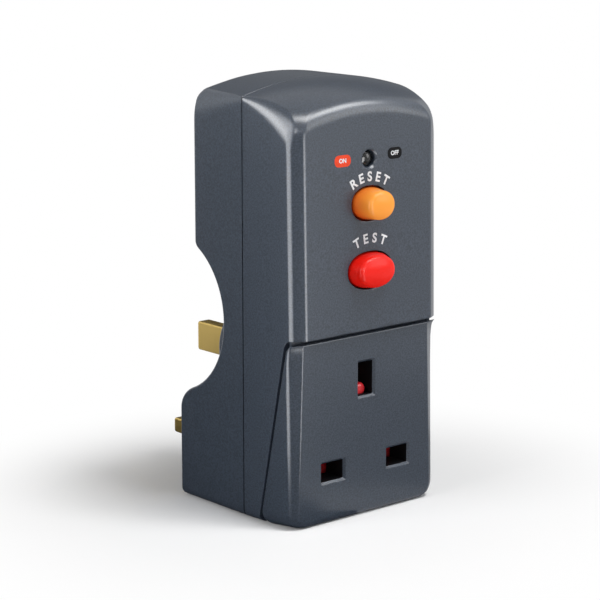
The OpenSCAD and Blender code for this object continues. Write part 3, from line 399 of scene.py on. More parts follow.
caseGrey = (0.033, 0.044, 0.063)
finishes = {
    "case_plastic": mouldedPlastic("satinCase", caseGrey, (0.276, 0.284), 2600.0, 0.32, 0.32),
    "shutter_red": glossPlastic("shutterRed", (0.75, 0.03, 0.04)),
    # buttons: deep shaded and lit colours of the painted shade, then front and middle
    "reset_orange": paintedShadeButton("resetOrange", (0.66, 0.065, 0.006), (1.0, 0.36, 0.05), -24.6, 76.1),
    "test_red": paintedShadeButton("testRed", (0.52, 0.004, 0.002), (0.9, 0.015, 0.008), -23.4, 60.3),
    "lens_clear": clearLens("clearWindow"),
    "drum_black": mouldedPlastic("drumBlack", (0.012, 0.012, 0.013), (0.3, 0.42), 1500.0, 0.1),
    "band_orange": mouldedPlastic("bandOrange", (0.9, 0.2, 0.03), (0.3, 0.42), 1500.0, 0.1),
    "pin_brass": bareMetal("pinBrass", (0.5, 0.36, 0.115), (0.3, 0.36)),
    "sleeve_black": mouldedPlastic("sleeveBlack", (0.02, 0.02, 0.022), (0.3, 0.4), 1200.0, 0.08),
    "contact_brass": bareMetal("clipBrass", (0.66, 0.5, 0.2), (0.25, 0.4)),
    "bar_copper": bareMetal("barCopper", (0.72, 0.36, 0.2), (0.25, 0.4)),
    "contact_silver": bareMetal("contactSilver", (0.8, 0.79, 0.76), (0.2, 0.35)),
    "inner_ivory": mouldedPlastic("innerIvory", (0.75, 0.72, 0.62), (0.38, 0.5), 1200.0, 0.08, 0.05),
    "carrier_grey": mouldedPlastic("carrierGrey", (0.1, 0.1, 0.11), (0.4, 0.52), 1200.0, 0.1),
    "steel": bareMetal("platedSteel", (0.56, 0.57, 0.6), (0.24, 0.4)),
    "board_green": mouldedPlastic("boardGreen", (0.02, 0.12, 0.04), (0.3, 0.42), 500.0, 0.1, 0.2),
    "core_grey": mouldedPlastic("coreGrey", (0.07, 0.075, 0.08), (0.4, 0.55), 900.0, 0.15),
    "winding_copper": woundWire("woundCopper", (0.75, 0.32, 0.12)),
    "chip_black": mouldedPlastic("chipBlack", (0.016, 0.016, 0.017), (0.42, 0.55), 1800.0, 0.12),
    "varistor_blue": glossPlastic("varistorBlue", (0.03, 0.1, 0.4), (0.25, 0.38)),
    "capacitor_yellow": glossPlastic("capacitorYellow", (0.7, 0.42, 0.05), (0.25, 0.38)),
    "resistor_tan": glossPlastic("resistorTan", (0.5, 0.32, 0.16), (0.3, 0.42)),
}
# painted shade: near-black finish laid on faces in the shells' slit and the cover's apertures, where shade falls
paintedShadeBlack = mouldedPlastic("paintedShadeBlack", (0.004, 0.004, 0.005), (0.5, 0.6), 1500.0, 0.05, 0.1, 0.04)
for node, obj in nodes.items():
    obj.data.materials.clear()
    obj.data.materials.append(finishes[slotOf[node]])
print("finishes:", len(finishes))


# Camera, lights and stage

photoView = {"lens": 123.4, "eye": (-341.63, -388.98, 161.45), "look": (-22.14, -18.4, 58.85)}
studio = {
    "floorTone": 0.96,
    "floorReach": 3000.0,
    "clearReach": (40, 110),    # the floor turns plain white between these distances
    "skyGlow": 0.25,
    "lampAim": (0, 0, 60),
    "lamps": [    # name, place, side and watts
        ("overheadSoftbox", (90, -270, 650), 200, 2.6),
        ("leftSoftbox", (-560, 60, 260), 300, 1.3),
        ("rightSoftbox", (380, -480, 260), 320, 1.15),
    ],
    "cards": [    # boards seen only in reflections: name, place, aim, along, width, height, glow
        ("frontFlag", (-75, -124, 66), (-23, -19, 66), None, 90, 130, 0.03),
        ("frontMat", (50, -82, 1), (50, -82, 100), (0.64, -0.74, 0), 120, 150, 0.45),
        ("chamferMat", (-48, -76, 0.4), (-48, -76, 100), (0.39, 0.92, 0), 120, 44, 0.03),
        ("leftFlag", (-119, 92, 57), (-32, -6, 57), None, 84, 110, 0.03),
        ("leftMat", (-68, 51, 0.4), (-68, 51, 100), (0.64, -0.74, 0), 190, 120, 0.03),
        ("backFlag", (205, 235, 215), (0, 5, 110), None, 300, 260, 0.25),
        ("pinFlag", (110, 165, 70), (0, 37, 40), None, 130, 100, 0.03),
        ("sideGleam", (-79, -20, 76), (-24, -17, 76), None, 52, 149, 7.5),
        ("faceGleam", (-14, -78, 50), (-21, -19, 50), None, 20, 98, 10.0),
        ("crescentGleam", (-198, 81, 148), (-27, -10, 100), (0.469, 0.883, 0), 115, 96, 14.0),
        ("browGleam", (120, -140, 278), (-10, -18, 103), (0.795, 0.5, -0.34), 110, 70, 18.0),
        ("buttonGleam", (-156, -206, 181), (0, -23, 70), None, 50, 60, 22.0),
    ],
}


def aimAt(obj, target, along=None):    # faces -Z to the target, with X laid along a direction
    back = (obj.location - Vector(target) * mm).normalized()
    side = Vector(along) if along else Vector((0, 0, 1)).cross(back)
    side = (side - back * side.dot(back)).normalized()
    obj.rotation_euler = Matrix((side, back.cross(side), back)).transposed().to_euler()


def setCamera():
    lens = bpy.data.cameras.new("photoCamera")
    lens.lens = photoView["lens"]
    lens.sensor_width = 36.0
    lens.clip_start = 0.01
    camera = bpy.data.objects.new("photoCamera", lens)
    camera.location = Vector(photoView["eye"]) * mm
    aimAt(camera, photoView["look"])
    linkIn(camera)
    bpy.context.scene.camera = camera


def setLamps():
    for name, place, side, watts in studio["lamps"]:
        light = bpy.data.lights.new(name, "AREA")
        light.shape = "RECTANGLE"
        light.size = side * mm
        light.size_y = side * mm
        light.energy = watts
        lamp = bpy.data.objects.new(name, light)
        lamp.location = Vector(place) * mm
        lamp.visible_camera = False
        aimAt(lamp, studio["lampAim"])
        linkIn(lamp)


def setCards():
    for name, place, aim, along, width, height, glow in studio["cards"]:
        outline = roundRect(width, height, 4)
        rings = [np.column_stack([outline, np.full(len(outline), t)]) for t in (-1.0, 0.0)]
        card = makeSolid(name, [rings])
        card.location = Vector(place) * mm
        aimAt(card, aim, along)
        for kind in ("camera", "diffuse", "transmission", "volume_scatter", "shadow"):
            setattr(card, "visible_" + kind, False)
        finish, tree, shader = newFinish(name)
        setInputs(shader, {"Base Color": (0, 0, 0, 1), "Specular IOR Level": 0,
                           "Emission Color": (1, 1, 1, 1), "Emission Strength": glow})
        card.data.materials.append(finish)


def mathNode(tree, operation, first, second):
    node = tree.nodes.new("ShaderNodeMath")
    node.operation = operation
    feed(node, 0, first)
    feed(node, 1, second)
    return node.outputs["Value"]


def backgroundRay(tree):    # 1 for camera, glossy and transmission rays
    path = tree.nodes.new("ShaderNodeLightPath")
    total = path.outputs["Is Camera Ray"]
    for other in ("Is Glossy Ray", "Is Transmission Ray"):
        total = mathNode(tree, "MAXIMUM", total, path.outputs[other])
    return total


def setWorld():
    world = bpy.data.worlds.new("studioWorld")
    bpy.context.scene.world = world
    world.use_nodes = True
    tree = world.node_tree
    sky = tree.nodes["Background"]
    setInputs(sky, {"Color": (1, 1, 1, 1)})
    feed(sky, "Strength", spanNode(tree, backgroundRay(tree), studio["skyGlow"], 1.0, 0.0, 1.0))


def setFloor():    # pale floor that keeps the shadow and runs out to plain white
    size, tone = studio["floorReach"], studio["floorTone"]
    floor = makeSolid("studioFloor", [blockRings((-size, -size, -3), (size, size, -0.02))])
    finish, tree, shader = newFinish("paleFloor")
    feed(shader, "Base Color", rampNode(tree, noiseNode(tree, 3.0), (tone,) * 3, (tone + 0.02,) * 3))
    setInputs(shader, {"Specular IOR Level": 0})
    reach = tree.nodes.new("ShaderNodeVectorMath")
    reach.operation = "LENGTH"
    feed(reach, 0, objectPlace(tree))
    near, far = studio["clearReach"]
    fade = addNode(tree, "MapRange", {"From Min": near * mm, "From Max": far * mm})
    fade.interpolation_type = "SMOOTHSTEP"
    feed(fade, "Value", reach.outputs["Value"])
    mix = tree.nodes.new("ShaderNodeMixShader")
    feed(mix, "Fac", mathNode(tree, "MULTIPLY", fade.outputs["Result"], backgroundRay(tree)))
    feed(mix, 1, shader.outputs["BSDF"])
    feed(mix, 2, tree.nodes.new("ShaderNodeEmission").outputs["Emission"])
    feed(tree.nodes["Material Output"], "Surface", mix.outputs["Shader"])
    floor.data.materials.append(finish)


bpy.context.scene.view_settings.view_transform = "Standard"
setCamera()
setLamps()
setCards()
setWorld()
setFloor()
print("stage set")


# Case: sizes that the two shells and the cover share

frontLow, frontHigh = nodeBox("front_shell")
caseForm = {
    "half": frontHigh[0],
    "height": frontHigh[2],
    "wall": 2.2,
    "crown": 87.0,    # radius of the top seen from the front
    "draft": 0.9,    # each side draws in this much to the front
    "baseRound": 2.0,
    "seam": 0.26,    # bevel of the parting line over the top
    "seamGap": (0.3, 0.8),    # width and depth of the slit between the shells
    "topScrew": (19.3, 96.0),
    "lowScrew": (17.8, 6.0),
    "bossRadius": 3.2,
    "bossGap": 0.01,    # from a boss to the parting plane
    "pilot": 1.55,
}
screwPlaces = (caseForm["topScrew"], caseForm["lowScrew"])


def squeezed(x, start, length, share):    # draws the top edge's round out down the side
    return 1 - share * smoothStep((x - start) / length)


def fanRings(field, zRows, phiRows, side, angles, lap=0.0):
    # rings round the parting plane: level ones up to the hub, then fanned over the top
    rings = []
    for z, phi in [(z, 0.0) for z in zRows] + [(hubZ, p) for p in phiRows]:
        a = angles(z, phi)
        heading = np.column_stack([
            np.cos(a), side * np.sin(a) * math.cos(phi), np.sin(a) * math.sin(phi)
        ])
        points = castRays(field, np.array([0.0, 0.0, z]), heading)
        if lap:
            ends = [points[0] - (0, side * lap, 0), points[-1] - (0, side * lap, 0)]
            points = np.vstack([ends[0], points, ends[1]])
        rings.append(points)
    if lap:
        rings.append(rings[-1] - np.array([0, side * lap, 0]) * (rings[-1][:, 1:2] * side > -lap / 2))
    return rings


def mirroredAngles(half):
    return np.radians(np.concatenate([half, [90.0], 180 - half[::-1]]))


# Front shell

frontForm = {
    "depth": -frontLow[1],
    "lip": 48.5,
    "lean": math.radians(1.1),
    "chamferWide": 3.2,
    "chamferDeep": 2.0,
    "faceRound": 0.3,    # chamfer to face
    "sideRound": 0.85,    # chamfer to side
    "roll": 35.0,    # radius of the roll from the top to the front
    "edgeRounds": (0.4, 3.2),    # top side edge at the parting line and at the front
    "edgeGrow": (16.4, 0.85),    # reach and power of its growth
    "edgeSqueeze": (18, 5, 0.45),
    "browRound": 2.1,    # roll to face
    "shoulderRound": 5.0,    # chamfer to roll
    "innerFace": -16.77,
    "innerRounds": (0.5, 0.3),    # between the inner walls and at the base
    "rimRound": 0.32,
    "roomTop": (-15.5, 48.5),    # (y, z) corners of the room for the socket cover
    "roomFoot": (-5.7, 0.0),
    "roomRounds": (2.4, 4.0),
    "resetHole": (12.2, 9.0),
    "testHole": (15.0, 9.7),
    "windowHole": (5.2, 4.3, 0.45),    # wide, narrow and depth of the sunk rim
    "holeEnd": -12,
    "lowBoss": -5.7,
    "pilotDepth": -7,
    "drumPosts": (-5.9, 6.2),    # x of the posts that carry the drum
    "drumPost": (1.6, -10.2, 2.5),    # width, end and half height of each
}
resetZ, testZ, windowZ = (
    float(sum(b[2] for b in nodeBox(node)) / 2) for node in ("reset_button", "test_button", "status_window")
)
hubZ = caseForm["height"] - frontForm["roll"]


def faceY(z):    # leaning front face
    return -frontForm["depth"] + (z - frontForm["lip"]) * math.tan(frontForm["lean"])


def sideX(y):    # half width, drawing in to the front
    return caseForm["half"] - caseForm["draft"] * np.maximum(-y, 0) / frontForm["depth"]


def barrelTop(x, y, z):    # crowned top that rolls down to the front
    reach = np.hypot(y, np.maximum(z - hubZ, 0))
    return np.hypot(x, reach + caseForm["crown"] - frontForm["roll"]) - caseForm["crown"]


def frontField(p):
    x, y, z = np.abs(p[..., 0]), p[..., 1], p[..., 2]
    wide, deep = frontForm["chamferWide"], frontForm["chamferDeep"]
    behind = (y - faceY(z)) * math.cos(frontForm["lean"])
    corner = caseForm["half"] - caseForm["draft"]
    chamfer = ((x - corner + wide) * deep - behind * wide) / math.hypot(wide, deep)
    barrel = barrelTop(x, y, z)
    shoulder = roundMax(chamfer, barrel - frontForm["browRound"], frontForm["shoulderRound"])
    face = roundMax(-behind, shoulder, frontForm["faceRound"])
    thin, full = frontForm["edgeRounds"]
    reach, power = frontForm["edgeGrow"]
    edge = thin + (full - thin) * np.clip(-y / reach, 0, 1) ** power
    body = roundMax(x - sideX(y), barrel * squeezed(x, *frontForm["edgeSqueeze"]), edge)
    sides = roundMax(body, face, frontForm["sideRound"])
    brow = roundMax(barrel, face, frontForm["browRound"])
    return roundMax(np.maximum(sides, brow), -z, caseForm["baseRound"])


def frontRoom(p):
    x, y, z = np.abs(p[..., 0]), p[..., 1], p[..., 2]
    wall, (topRound, footRound) = caseForm["wall"], frontForm["innerRounds"]
    sides = roundMax(x - sideX(y) + wall, frontForm["innerFace"] - y, topRound)
    return roundMax(roundMax(sides, barrelTop(x, y, z) + wall, topRound), wall - z, footRound)


def seamRings():    # frame that cuts the slit at the front shell's rear rim
    gap, deep = caseForm["seamGap"]
    hub = np.array([0.0, 0.0, caseForm["height"] / 2])
    a = np.linspace(0, 2 * math.pi, 240, endpoint=False)
    rim = castRays(frontField, hub, np.column_stack([np.cos(a), np.zeros(len(a)), np.sin(a)])) - hub
    inner = hub + rim * (1 - deep / np.linalg.norm(rim, axis=1))[:, None]
    outer = hub + rim * 1.1
    past = 1.0    # how far the frame stands behind the parting plane
    corners = ((outer, -gap), (outer, past), (inner, past), (inner, -gap))
    return [ring + np.array([0.0, y, 0.0]) for ring, y in corners]


def makeFrontShell():
    dense = mirroredAngles(spans((0, 20, 5), (21, 32, 12), (32.5, 47, 44), (49, 88, 17)))

    def leaning(z, phi):    # keeps the close rays on the chamfer as the rings tip over
        lean = faceY(z + 18 * math.tan(min(phi, 1.0))) / faceY(hubZ)
        return np.arctan2(np.sin(dense) * lean / max(math.cos(phi), 0.588), np.cos(dense))

    rows = quarterRows(caseForm["baseRound"], 7) + list(np.linspace(40, hubZ, 9))
    fans = np.radians(spans((3, 43, 11), (44, 66, 40), (66.8, 90, 30)))
    shell = makeSolid("frontShell", [fanRings(frontField, rows, fans, -1, leaning)])

    top, foot = frontForm["roomTop"], frontForm["roomFoot"]
    far = -2 * frontForm["depth"]
    room = roundCorners([(far, -4), (far, top[1]), top, foot, (foot[0] - 5.5, -4)],
                        [0, 0, *frontForm["roomRounds"], 0], 10)
    carve(shell, "coverRoom", [prismX(room, -40, 40)])
    coarse = mirroredAngles(spans((0, 30, 5), (32, 50, 12), (55, 88, 8)))
    innerFans = np.radians(spans((6, 46, 7), (48, 68, 13), (72, 90, 5)))
    innerRows = [caseForm["wall"] + 1e-3, 4, 40, hubZ]
    inner = fanRings(frontRoom, innerRows, innerFans, -1, lambda z, phi: coarse, 1.0)
    carve(shell, "frontHollow", [inner])

    wide, narrow, sunk = frontForm["windowHole"]
    end, rimY = frontForm["holeEnd"], faceY(windowZ)
    holes = [[flatRing(oval(*frontForm[hole], 0, z, 2.2), y) for y in (far, end)]
             for hole, z in (("resetHole", resetZ), ("testHole", testZ))]
    bore = ((far, wide), (rimY, wide), (rimY + sunk, narrow), (end, narrow))
    holes.append([flatRing(oval(d, d, 0, windowZ), y) for y, d in bore])
    carve(shell, "frontHoles", holes)

    carve(shell, "seamTool", [seamRings()], looped=True)
    onSurface = onField(frontField)
    gap = caseForm["seamGap"][0]

    def rim(edge):    # leaves the slit's edge sharp
        return onSurface(edge) and edgeEnds(edge)[:, 1].max() < -gap - 0.05 and sharper(edge, 35)

    print("rims:", softenEdges(shell, rim, frontForm["rimRound"], 3))

    boss, pilot, flush = caseForm["bossRadius"], caseForm["pilot"], -caseForm["bossGap"]
    root = frontForm["innerFace"] - caseForm["wall"] / 2
    thick, postEnd, tall = frontForm["drumPost"]
    fittings = bothSides([
        steppedBar([(y, boss), (flush, boss)], *place)
        for y, place in zip((root, frontForm["lowBoss"]), screwPlaces)
    ])
    fittings += [blockRings((x, root, windowZ - tall), (x + thick, postEnd, windowZ + tall))
                 for x in frontForm["drumPosts"]]
    carve(shell, "frontFittings", fittings, "UNION")
    pilots = [steppedBar([(frontForm["pilotDepth"], pilot), (1, pilot)], *place, 24) for place in screwPlaces]
    carve(shell, "frontPilots", bothSides(pilots))
    tidyMesh(shell)
    smoothShade(shell)
    dress(shell, "case", "case_plastic", "front_shell")

    # painted shade: the faces inside the slit between the shells get the near-black finish
    def inSlit(p, normal):
        faces = abs(p[1] + gap) < 0.02 and normal.y > 0.9
        return faces or -gap < p[1] < -0.02 and frontField(p) < -0.5

    paintShade(shell, inSlit)


makeFrontShell()


# Rear shell

rearForm = {
    "upper": 19.2,    # depth of the upper rear face
    "plug": 25.95,    # depth of the plug face
    "gripRadius": 20.7,
    "grip": (28.6, 49.1),    # (y, z) of the finger grips' axis
    "shoulders": (5.0, 1.25),    # rounds below and above the grips
    "edgeRounds": (0.4, 2.9),    # top side edge at the parting line and at the rear
    "edgeReach": 17,
    "edgeSqueeze": (14, 8, 0.6),
    "backRounds": (0.55, 3.0),    # rear edge at the sides and at the top
    "backBlend": (104.6, 4.4),    # height where the second starts, and how far it takes
    "seamFrom": 106.9,    # height where the bevel of the parting line starts
    "tongueHalf": 12.5,
    "tongueTop": 50.4,
    "tongueRound": 0.8,
    "tongueStart": (6.8, 3.0),    # y where the tongue and its hollow start
    "seat": 10.0,    # depth of the screws' seats
    "seatRadius": 3.0,
    "seatFloor": 2.0,
    "headBoss": 4.4,
    "panel": (36.0, 15.5, 82.55, 0.3),    # width, height, middle and depth of the bare panel
    "slotStart": 20.0,
    "rimRound": 0.3,
    "posts": [    # radius, y from, y to, x, z
        (2.2, 5.0, 18.1, 6.0, 70.0), (2.2, 5.0, 18.1, 9.0, 88.3),
        (2.0, 5.4, 24.8, 12.6, 19.4), (2.0, 5.4, 7.67, 12.6, 43.0),
    ],
}
pinForm = {
    "pitch": 22.23 / 2,
    "lowZ": 13.4,
    "earthZ": 35.63,
    "lineSize": (6.35, 4.0),
    "earthSize": (4.0, 8.0),
    "slack": 0.1,
}


def rearProfile(y, z, inset):    # side outline: upper face, plug block and finger grips
    gripY, gripZ = rearForm["grip"]
    upper = y - rearForm["upper"] + inset
    plug = np.maximum(y - rearForm["plug"] + inset, z - gripZ)
    scoop = rearForm["gripRadius"] + inset - np.hypot(y - gripY, z - gripZ)
    low, high = rearForm["shoulders"]
    return roundMax(np.minimum(upper, plug), scoop, np.where(z < gripZ, low, high))


def crownTop(x, z):
    return np.hypot(x, z - caseForm["height"] + caseForm["crown"]) - caseForm["crown"]


def rearField(p):
    x, y, z = np.abs(p[..., 0]), p[..., 1], p[..., 2]
    thin, full = rearForm["edgeRounds"]
    edge = thin + (full - thin) * np.clip(y / rearForm["edgeReach"], 0, 1)
    ends = roundMax(x - caseForm["half"], crownTop(x, z) * squeezed(x, *rearForm["edgeSqueeze"]), edge)
    low, high = rearForm["backRounds"]
    start, length = rearForm["backBlend"]
    back = low + (high - low) * smoothStep((z - start) / length)
    return roundMax(roundMax(rearProfile(y, z, 0.0), ends, back), -z, caseForm["baseRound"])


def rearRoom(p):
    x, y, z = np.abs(p[..., 0]), p[..., 1], p[..., 2]
    wall = caseForm["wall"]
    back = roundMax(rearProfile(y, z, wall), crownTop(x, z) + wall, rearForm["backRounds"][1] - wall)
    return roundMax(roundMax(back, wall - z, 0.3), x - caseForm["half"] + wall, 0.4)


def cornerAngles(field, spread, counts):    # packs the rays round the rear corner of each ring
    def angles(z, phi):
        inset = caseForm["half"] - 5.0
        heading = np.array([0.0, math.cos(phi), math.sin(phi)])
        reach = np.linalg.norm(castRays(field, np.array([inset, 0.0, z]), heading) - (inset, 0.0, z))
        corner = math.degrees(math.atan2(reach, caseForm["half"]))
        around = spread * (1 + 1.4 * min(phi, 1.0))
        half = np.concatenate([
            np.linspace(0, corner - around, counts[0], endpoint=False),
            np.linspace(corner - around, corner + around, counts[1], endpoint=False),
            np.linspace(corner + around, 88, counts[2]),
        ])
        return mirroredAngles(half)
    return angles


def tongueOutline(inset):
    half = rearForm["tongueHalf"] - inset
    middle = rearForm["tongueTop"] - rearForm["tongueHalf"]
    arc = [(half * math.cos(a), middle + half * math.sin(a)) for a in np.linspace(0, math.pi, 49)]
    return np.array([(-half, caseForm["wall"] + inset), (half, caseForm["wall"] + inset)] + arc)


def makeRearShell():
    wall, plug = caseForm["wall"], rearForm["plug"]
    rows = quarterRows(caseForm["baseRound"], 7) + [12.0, 20.0]
    rows += list(spans((21.5, 31, 16), (32, 62.5, 34), (63, 70, 18))) + [73.0, hubZ]
    fans = np.radians(spans((6, 40, 12), (42, 78, 36), (80, 90, 6)))
    rings = fanRings(rearField, rows, fans, 1, cornerAngles(rearField, 4.5, (9, 30, 18)))
    shell = makeSolid("rearShell", [rings])

    edge = rearForm["tongueRound"]
    tongueY, hollowY = rearForm["tongueStart"]
    tongue = [flatRing(tongueOutline(0), tongueY)]
    for a in np.radians(np.linspace(0, 90, 6)):
        tongue.append(flatRing(tongueOutline(edge * (1 - math.cos(a))), plug - edge * (1 - math.sin(a))))
    carve(shell, "tongue", [tongue], "UNION")
    onSurface = onField(rearField)

    def seam(e):
        ends = edgeEnds(e)
        overTop = ends[:, 2].min() > rearForm["seamFrom"]
        return onSurface(e) and overTop and ends[:, 1].max() < 0.01 and sharper(e, 35)

    print("seam:", softenEdges(shell, seam, caseForm["seam"], 3))
    innerRows = [wall + 1e-3, 4, 20] + list(np.linspace(22, 72, 36)) + [hubZ]
    innerFans = np.radians(np.linspace(6, 90, 22))
    inner = fanRings(rearRoom, innerRows, innerFans, 1, cornerAngles(rearRoom, 3, (5, 8, 9)), 1.0)
    carve(shell, "rearHollow", [inner])
    hollow = [flatRing(tongueOutline(wall), y) for y in (hollowY, plug - wall)]
    carve(shell, "tongueHollow", [hollow])

    boss, head, seat = caseForm["bossRadius"], rearForm["headBoss"], rearForm["seat"]
    foot = seat - rearForm["seatFloor"]
    fittings = [
        steppedBar([(caseForm["bossGap"], boss), (foot, boss), (foot, head), (deep - wall / 2, head)], *place)
        for deep, place in zip((rearForm["upper"], plug), screwPlaces)
    ]
    fittings += [steppedBar([(y0, r), (y1, r)], x, z, 24) for r, y0, y1, x, z in rearForm["posts"]]
    carve(shell, "rearFittings", bothSides(fittings), "UNION", True)
    far = plug + 2
    pilot, wide = caseForm["pilot"], rearForm["seatRadius"]
    bore = [(-1, pilot), (seat, pilot), (seat, wide), (far, wide)]
    bores = [steppedBar(bore, *place) for place in screwPlaces]
    carve(shell, "screwHoles", bothSides(bores))

    line, lowZ, pitch = pinForm["lineSize"], pinForm["lowZ"], pinForm["pitch"]
    slack = pinForm["slack"]
    pins = ((line, -pitch, lowZ), (line, pitch, lowZ), (pinForm["earthSize"], 0, pinForm["earthZ"]))
    slots = [[flatRing(roundRect(w + slack, h + slack, 0.4, x, z), y) for y in (rearForm["slotStart"], far)]
             for (w, h), x, z in pins]
    width, height, middle, deep = rearForm["panel"]
    slots.append([flatRing(roundRect(width, height, 1.6, 0, middle, 8), y)
                  for y in (rearForm["upper"] - deep, far)])
    carve(shell, "rearSlots", slots)

    def rim(e):
        y = edgeEnds(e)[:, 1]
        onFace = (np.abs(y - rearForm["upper"]) < 0.01) | (np.abs(y - plug) < 0.01)
        return bool(onFace.all()) and sharper(e, 50)

    print("rims:", softenEdges(shell, rim, rearForm["rimRound"]))
    tidyMesh(shell)
    smoothShade(shell)
    dress(shell, "case", "case_plastic", "rear_shell")
    # painted shade: near-black on the rear rim's faces inside the slit
    paintShade(shell, lambda p, normal: abs(p[1]) < 0.01 and normal.y < -0.9)


makeRearShell()


# Socket cover

coverForm = {
    "face": -18.4,
    "top": 47.3,
    "flank": (-16.0, -6.2),    # y of the flank at the top and at the foot
    "flankRounds": (2.0, 4.0),
    "chamferWide": (1.8, 3.4),    # at the foot and at the top
    "chamferDeep": (1.0, 2.2),
    "chamferRounds": (1.6, 0.9),    # to the side and to the face
    "backRound": 0.3,
    "topRound": 0.4,
    "topDraw": 0.2,    # round of the top along the sides
    "footFront": 1.8,    # round below the face
    "footSide": 2.0,    # round below the sides at the flank
    "footCorner": 4.5,    # and at the face
    "bevel": (0.55, 0.55),    # width and depth of the bevels round the apertures
    "lineHole": (7.2, 4.9),
    "earthHole": (4.9, 8.8),
    "holeRound": 0.25,
    "channel": 1.2,
    "channelEnd": -11.7,
    "blocksEnd": -9.4,
    "posts": (2.6, 12.6, 27.0, 3.4),    # radius, x, z and end
    "postBore": (1.1, 8),    # radius and depth
    "skirt": (1.7, 0.3),    # its two faces, from the wall's inside
    "noseRoom": (4.2, 29.3, 32.2),    # half width, foot and top
}


def sink(r, z):    # how far a round of radius r draws in at height z above its foot
    return r - math.sqrt(max(r * r - max(r - z, 0.0) ** 2, 0.0))


def flankField(p):
    y, z = p[..., 1], p[..., 2]
    top, (topY, footY) = coverForm["top"], coverForm["flank"]
    flank = ((y - topY) * top - (top - z) * (footY - topY)) / math.hypot(footY - topY, top)
    topRound, footRound = coverForm["flankRounds"]
    return roundMax(roundMax(flank, z - top, topRound), -z, footRound)


def coverRing(z):
    face, rest = coverForm["face"], coverForm["top"] - z
    frontY = face + sink(coverForm["footFront"], z) + sink(coverForm["topRound"], rest)
    start = np.array([0.0, face + 0.05, z])
    backY = max(castRays(flankField, start, np.array([0.0, 1.0, 0.0]))[1], frontY + 0.3)
    wide, deep = (low + (high - low) * z / coverForm["top"]
                  for low, high in (coverForm["chamferWide"], coverForm["chamferDeep"]))
    edgeY = min(frontY + deep, 0.4 * frontY + 0.6 * backY)
    draw = sink(coverForm["topDraw"], rest)
    outer = sideX(backY) - sink(coverForm["footSide"], z) - draw
    corner = sideX(edgeY) - sink(coverForm["footCorner"], z) - draw
    half = [(outer, backY), (corner, edgeY), (corner - wide, frontY)]
    radii = [coverForm["backRound"], *coverForm["chamferRounds"]]
    outline = roundCorners(half + [(-x, y) for x, y in reversed(half)], radii + radii[::-1], 6)
    return np.column_stack([outline, np.full(len(outline), z)])


def apertureRings(size, x, z, end):
    wide, deep = coverForm["bevel"]
    face, r = coverForm["face"], coverForm["holeRound"]
    steps = [(face - 1, wide * (1 + 1 / deep)), (face, wide), (face + deep, 0.0), (end, 0.0)]
    return [flatRing(roundRect(size[0] + 2 * grow, size[1] + 2 * grow, r, x, z, 3), y) for y, grow in steps]


def makeCover():
    top, (topY, footY) = coverForm["top"], coverForm["flank"]
    rows = quarterRows(coverForm["footCorner"], 13) + [12.0, 24.0, 36.0, 43.0]
    rows += [top - 2.4 * t for t in (1, 0.8, 0.6, 0.45, 0.3, 0.2, 0.12, 0.06, 0.02, 0)]
    cover = makeSolid("socketCover", [[coverRing(z) for z in rows]])
    wall, half = caseForm["wall"], caseForm["half"]
    side = half - wall    # inside of the side walls
    inFace = coverForm["face"] + wall
    carve(cover, "coverHollow", [blockRings((-side, inFace, wall), (side, 4, top - 0.8))])

    lineX, lineZ, earthZ = pinForm["pitch"], pinForm["lowZ"], pinForm["earthZ"]
    grow, end, blocksEnd = coverForm["channel"], coverForm["channelEnd"], coverForm["blocksEnd"]
    back, skirtY = inFace - wall / 2, inFace - 0.4
    postR, postX, postZ, postEnd = coverForm["posts"]
    (lineW, lineH), (earthW, earthH) = coverForm["lineHole"], coverForm["earthHole"]
    skirtIn, skirtOut = (side - step for step in coverForm["skirt"])

    def channel(w, h, x, z):    # wall round an aperture
        return blockRings((x - w / 2 - grow, back, z - h / 2 - grow), (x + w / 2 + grow, end, z + h / 2 + grow))

    paired = bothSides([
        channel(lineW, lineH, lineX, lineZ),
        steppedBar([(back, postR), (postEnd, postR)], postX, postZ, 32),
        blockRings((16.5, back, 9.0), (17.7, blocksEnd, 17.15)),    # guides of the shutter
        blockRings((side - 0.5, -16.7, 44.4), (half - 1.6, -16.1, 48.35)),    # hooks under the lip
        prismX([(skirtY, 2.5), (skirtY, 46.5), (topY + 2.6, 46.5), (footY + 2.6, 2.5)], skirtIn, skirtOut),
        prismX([(skirtY, 1.2), (skirtY, 45), (topY - 0.2, 42.5), (footY - 1.2, 3.4)], skirtOut - 0.5, side + 0.6),
    ])
    single = [
        channel(earthW, earthH, 0, earthZ),
        blockRings((-1.4, back, 17.75), (1.4, blocksEnd, 18.75)),    # seat of the shutter's spring
        blockRings((0.3 - side, inFace - 0.27, 43.3), (side - 0.3, topY + 0.65, 51.0)),    # tongue behind the lip
    ]
    carve(cover, "coverFittings", paired + single, "UNION", True)
    holes = [apertureRings(coverForm["lineHole"], x, lineZ, end + 1) for x in (-lineX, lineX)]
    holes.append(apertureRings(coverForm["earthHole"], 0, earthZ, end + 1))
    boreR, boreDepth = coverForm["postBore"]
    holes += bothSides([steppedBar([(postEnd - boreDepth, boreR), (postEnd + 1, boreR)], postX, postZ, 20)])
    carve(cover, "apertures", holes)
    noseX, noseFoot, noseTop = coverForm["noseRoom"]
    carve(cover, "noseRoom", [blockRings((-noseX, inFace, noseFoot), (noseX, end + 0.3, noseTop))])
    tidyMesh(cover)
    smoothShade(cover)
    dress(cover, "case", "case_plastic", "socket_cover")

    # painted shade: near-black on the aperture walls behind the bevels
    def inAperture(p, normal):
        x, y, z = p
        inLine = abs(abs(x) - lineX) < lineW / 2 + 0.05 and abs(z - lineZ) < lineH / 2 + 0.05
        inEarth = abs(x) < earthW / 2 + 0.05 and abs(z - earthZ) < earthH / 2 + 0.05
        return y > coverForm["face"] + coverForm["bevel"][1] + 0.02 and (inLine or inEarth)

    paintShade(cover, inAperture)


makeCover()


# Buttons

